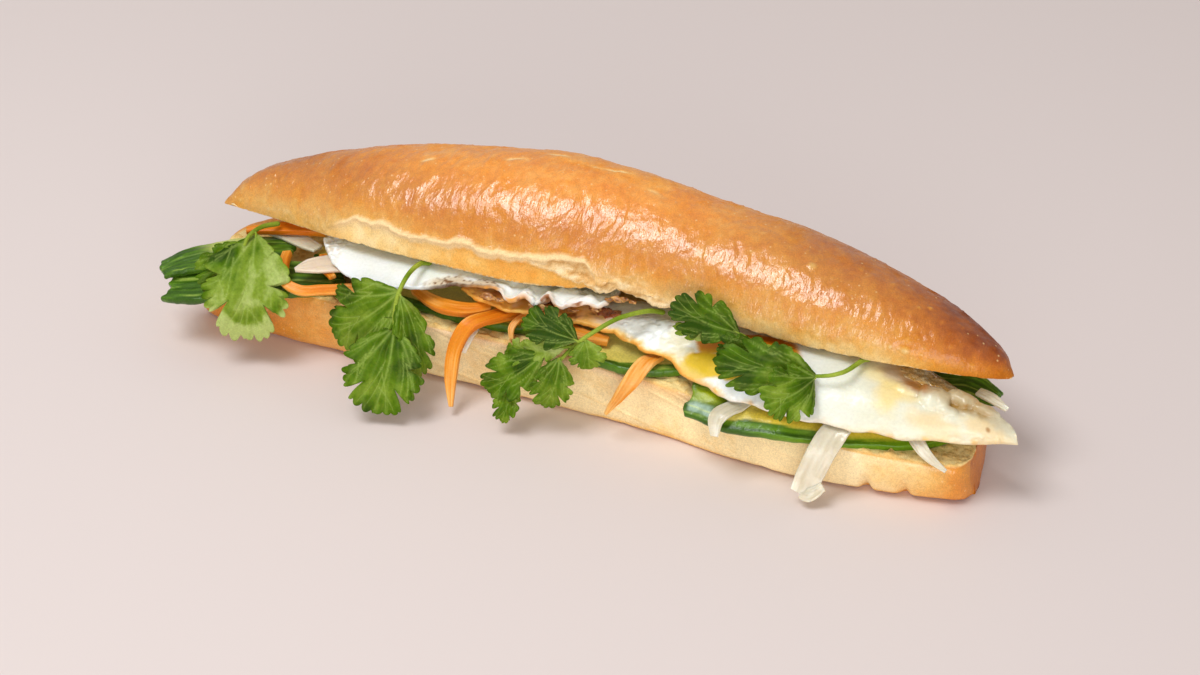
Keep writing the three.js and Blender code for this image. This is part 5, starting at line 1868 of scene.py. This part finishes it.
print("fingers of a small and a large leaflet:", leaf_fingers(9), leaf_fingers(29))

# %% [markdown]
# ### Veins
# Veins run from the foot to the lobes, and from those to the fingers: for each point the
# distance to the nearest vein line gives its relief and colour.

# %% Leaf veins
LEAF_LOBES = [0, 1.2, -1.2, 2.05, -2.05]  # angles of the lobes about the middle


def vein_map(flat, length, width, seed):
    """How much each point lies on a vein, and its distance from the nearest one."""
    on, nearest = np.zeros(len(flat)), np.full(len(flat), 1e3)

    def line(start, end, thick, fine):
        nonlocal on, nearest
        run = end - start
        share = np.clip(((flat - start) @ run) / (run @ run), 0, 1)
        bend = 0.05 * norm(run) * np.sin(np.pi * share)
        across = np.array([-run[1], run[0]]) / norm(run)
        away = flat - start - share[:, None] * run - bend[:, None] * across
        d = norm(away, axis=1)
        thickness = thick + (fine - thick) * share
        on = np.maximum(on, np.exp(-((d / thickness) ** 2)) * (1 - 0.4 * share))
        nearest = np.minimum(nearest, d)

    foot = np.array([0.0, 0.0])
    tips = [rim_at(a, length, width, seed, 0.92) for a in LEAF_LOBES]
    for tip in tips:
        line(foot, tip, 0.019 * width, 0.008 * width)
    fingers = leaf_fingers(width)
    for k in range(fingers):
        angle = 2 * np.pi * k / fingers
        turned = angle if angle < np.pi else angle - 2 * np.pi
        if abs(turned) > 2.5:
            continue
        lobe = int(np.argmin([abs(turned - a) for a in LEAF_LOBES]))
        if abs(turned - LEAF_LOBES[lobe]) < 0.1:
            continue
        start = tips[lobe] * (0.42 + 0.16 * (k % 3))
        line(start, rim_at(angle, length, width, seed, 0.93), 0.010 * width, 0.005 * width)
    return on, nearest


on, nearest = vein_map(np.array([[5.0, 0.0]]), 20, 15, 1)
print("5 mm up the middle vein:", on.round(2), "at", nearest.round(2), "mm from a line")

# %% [markdown]
# ### One leaflet
# The leaflet stands on a frame of three directions: along it, across it and out of its
# face. Outline, veins, puffs between the veins, a quilt of noise and a curled rim add up to
# how far each point lifts off the flat.

# %% A leaflet
LEAF_SHADES = [(0, seen(40, 68, 0)), (0.35, seen(74, 108, 2)), (0.7, seen(120, 144, 40)),
               (1, seen(172, 186, 108))]
VEIN_GREEN = seen(164, 184, 92)


def leaf_frame(foot, tip, turn):
    """Directions along, across and out of a leaflet's face, and its length."""
    length = norm(tip - foot)
    along = (tip - foot) / length
    face = unit(LEAF_FACE - along * (LEAF_FACE @ along))
    a = math.radians(turn)
    face = face * math.cos(a) + np.cross(along, face) * math.sin(a)
    return along, np.cross(face, along), face, length


def make_leaflet(name, row, fresh, seed, pale_tip=0.0, dark_left=0.0):
    foot, tip, width, turn, arch = (np.array(value, float) for value in row)
    blank, disc = next(blank for widest, blank in LEAF_BLANKS if width <= widest)
    along, across, face, length = leaf_frame(foot, tip, turn)
    scale = np.hypot(disc[:, 0], disc[:, 1])
    angle = np.arctan2(disc[:, 1], disc[:, 0]) % (2 * np.pi)
    ahead, side = leaf_envelope(angle, length, width)
    reach = scale * (1 - leaf_cut(angle, width, seed) * rise(scale, 0.25, 1))
    s = length * LEAF_FOOT + ahead * np.where(ahead > 0, reach, scale)
    side = side * reach
    vein, nearest = vein_map(np.stack([s, side], 1), length, width, seed)
    lift = 4 * arch * (s / length) * (1 - s / length) + 0.08 * np.abs(side)
    lift += 0.035 * length * scale * scale * np.sin(4 * angle + turn)
    flat = foot + along * s[:, None] + across * side[:, None]
    puffed = 0.016 * rise(nearest, 0, 0.09 * width) * scale
    quilt = 0.012 * grain(flat, 0.16 * width, seed, 2) * scale
    curl = 0.05 * rise(scale, 0.8, 1) * (0.5 + 0.5 * np.sin(3 * angle + seed))
    lift += width * (puffed + quilt - curl - 0.010 * vein)
    # fine veins fan out from the foot between the main ones
    fan = np.cos(44 * np.arctan2(side, s + 0.12 * length) + 1.5 * grain(flat, 5, seed + 5))
    fan = rise(fan, 0.2, 1.0) * rise(s, 0.05 * length, 0.3 * length)
    points = flat + face * (lift - 0.10 * fan)[:, None]
    piece = blank.copy()
    piece.data = blank.data.copy()
    piece.name = piece.data.name = name
    bpy.context.collection.objects.link(piece)
    set_points(piece, points)
    shade = fresh + lumps(points, (0.30, 6, seed + 1, 2), (0.06, 0.9, seed + 3, 1))
    curled = s + 0.5 * np.abs(side) + 1.6 * grain(points, 3, seed + 4, 2)
    shade += pale_tip * rise(curled, 0.84 * length, 0.92 * length)
    shade -= dark_left * rise(-side, 2, 6) * fall(s, 8, 15) + 0.10 * rise(nearest, 0.2, 1.6)
    tint = mixed(spectrum(shade, LEAF_SHADES), VEIN_GREEN, np.maximum(vein * 0.5, fan * 0.10))
    paint(piece, "tint", tint)
    mark(piece, "matt", 0.4 + 0.3 * grain(points, 2, seed + 2))
    thicken(piece, LEAF_THICK, 0)
    return piece


print("a leaflet's length:", round(leaf_frame(np.zeros(3), np.array([3.0, 4, 0]), 0)[3], 2))

# %% [markdown]
# ### Stalks and sprigs
# A stalk is a thin tube that a cook could bend: it follows its path and thins towards the
# end. Each leaflet has a small stalk of its own, which starts at the nearest point of the
# main one. A sprig is all of them joined.

# %% Build the sprigs
STALK_GREENS = [(0, seen(104, 132, 20)), (1, seen(160, 176, 66))]
SIDEWAYS = np.array([1, 0.2, 0.0])
STALK_STEP, STALK_AROUND = 0.5, 14  # mm between the rings of a stalk, faces round it
PETIOLE_INSIDE = 0.14  # of a leaflet's length is reached by its own stalk
leaf_material = food_material(
    "cilantro_leaf", 0.48, specks=[(0.6, 0.14, 0.10)], pores=[(0.8, 0.08, 1)],
    subsurface=0.12, matt=0.65, gloss=0.1,
)


def make_stalk(name, path, radius, seed):
    """A tube along the path that thins towards its end."""
    curve = smooth_path(path)
    line = curve(np.linspace(0, 1, 60))
    length = float(norm(np.diff(line, axis=0), axis=1).sum())
    piece, s, t = flat_grid(name, max(12, round(length / STALK_STEP)),
                            STALK_AROUND)
    tangent = unit(curve(s + 1e-3) - curve(s - 1e-3))
    side = unit(np.cross(SIDEWAYS, tangent))
    up = np.cross(tangent, side)
    ends = np.sqrt(np.clip(1 - (2 * s - 1) ** 30, 0, 1))
    size = radius * (1 - 0.35 * s) * ends * (1 + 0.05 * np.cos(10 * np.pi * t))
    angle = (2 * np.pi * t)[:, None]
    points = curve(s) + size[:, None] * (side * np.cos(angle) + up * np.sin(angle))
    dress(piece, points, spectrum(0.5 + 0.4 * grain(points, 5, seed), STALK_GREENS), 0 * s)
    return piece


def make_sprig(name, plan, seed):
    parts, trail = [], []
    for i, path in enumerate(plan["stalks"]):
        parts.append(make_stalk(f"{name}_s{i}", path, STEM_RADIUS * (0.7 if i else 1), seed))
        trail.extend(smooth_path(path)(np.linspace(0, 1, 41)))
    for i, row in enumerate(plan["leaflets"]):
        foot, tip = np.array(row[0], float), np.array(row[1], float)
        near = trail[np.argmin(norm(np.array(trail) - foot, axis=1))]
        own_path = [near, foot, foot + (tip - foot) * PETIOLE_INSIDE]
        parts.append(make_stalk(f"{name}_p{i}", own_path, PETIOLE_RADIUS, seed + i))
        marks = (plan.get("pale_tip", 0), plan.get("dark_left", 0)) if i == 0 else ()
        parts.append(make_leaflet(f"{name}_l{i}", row, plan["fresh"][i], seed + 10 * i, *marks))
    piece = joined(parts, name.replace("cilantro", "sprig"))
    finish_piece(piece, "cilantro", leaf_material, name)


for i, (name, plan) in enumerate(SPRIGS.items()):
    make_sprig(name, plan, 400 + 100 * i)
for _, (blank, _) in LEAF_BLANKS:
    bpy.data.objects.remove(blank)

# %% Floor
alone()
bpy.ops.mesh.primitive_plane_add(size=6, location=(0, 0, 0))
floor = bpy.context.object
floor.name = "floor"
floor_material = bpy.data.materials.new("pale_floor")
floor_material.use_nodes = True
plug(floor_material.node_tree.nodes["Principled BSDF"],
     {"Base Color": (*seen(226, 212, 208), 1), "Roughness": 0.7})
floor.data.materials.append(floor_material)
print("floor:", floor.dimensions.x, "m wide")

# %% [markdown]
# ## Light
# Daylight from a window is large and soft. One square lamp high on the left is the main
# light, a weak wide one low on the right opens the shadows, and the world's own pale light
# keeps the hollows between the fillings from going black.

# %% Lights
LAMPS = {  # azimuth (0 is the front, 90 the right), elevation, distance, size, power, colour
    "key": [-34, 66, 1.2, 0.52, 8.2, (0.95, 0.985, 1)],
    "fill": [24, 7, 1.6, 1.2, 17, (1, 1, 1)],
}
WORLD_COLOUR, WORLD_STRENGTH = (1, 0.98, 0.96, 1), 0.46


def stand(name, data, azimuth, elevation, distance, centre=0.0):
    """Puts a lamp or the camera at a distance from the centre, and lets it look there."""
    a, e = math.radians(azimuth), math.radians(elevation)
    out = np.array([math.sin(a) * math.cos(e), -math.cos(a) * math.cos(e), math.sin(e)])
    stood = bpy.data.objects.new(name, data)
    stood.location = centre + out * distance
    stood.rotation_euler = Vector(list(-out)).to_track_quat("-Z", "Y").to_euler()
    bpy.context.collection.objects.link(stood)
    return stood


for name, (azimuth, elevation, distance, size, power, colour) in LAMPS.items():
    lamp = bpy.data.lights.new(name, "AREA")
    lamp.shape, lamp.size, lamp.energy, lamp.color = "SQUARE", size, power, colour
    print(name, "stands at", stand(name, lamp, azimuth, elevation, distance).location)
world = bpy.data.worlds.new("studio")
bpy.context.scene.world = world
world.use_nodes = True
plug(world.node_tree.nodes["Background"],
     {"Color": WORLD_COLOUR, "Strength": WORLD_STRENGTH})
bpy.context.scene.view_settings.view_transform = "Standard"

# %% [markdown]
# ## Camera
# The camera looks down on the open side from a little to the right. It stands far off with
# a long lens, as one would for food, so that the near end doesn't swell.

# %% Camera
LOOK_AT = (np.array([5.74, -14.38, 25]) + SHIFT) * MM
SENSOR, HALF_VIEW = 36, math.radians(11)
camera_data = bpy.data.cameras.new("camera")
camera_data.sensor_width = SENSOR
camera_data.lens = SENSOR / 2 / math.tan(HALF_VIEW)
bpy.context.scene.camera = stand("camera", camera_data, 22.3, 34, 0.952, LOOK_AT)
print("lens", round(camera_data.lens, 1), "mm")

# %% Update the scene
bpy.context.view_layer.update()
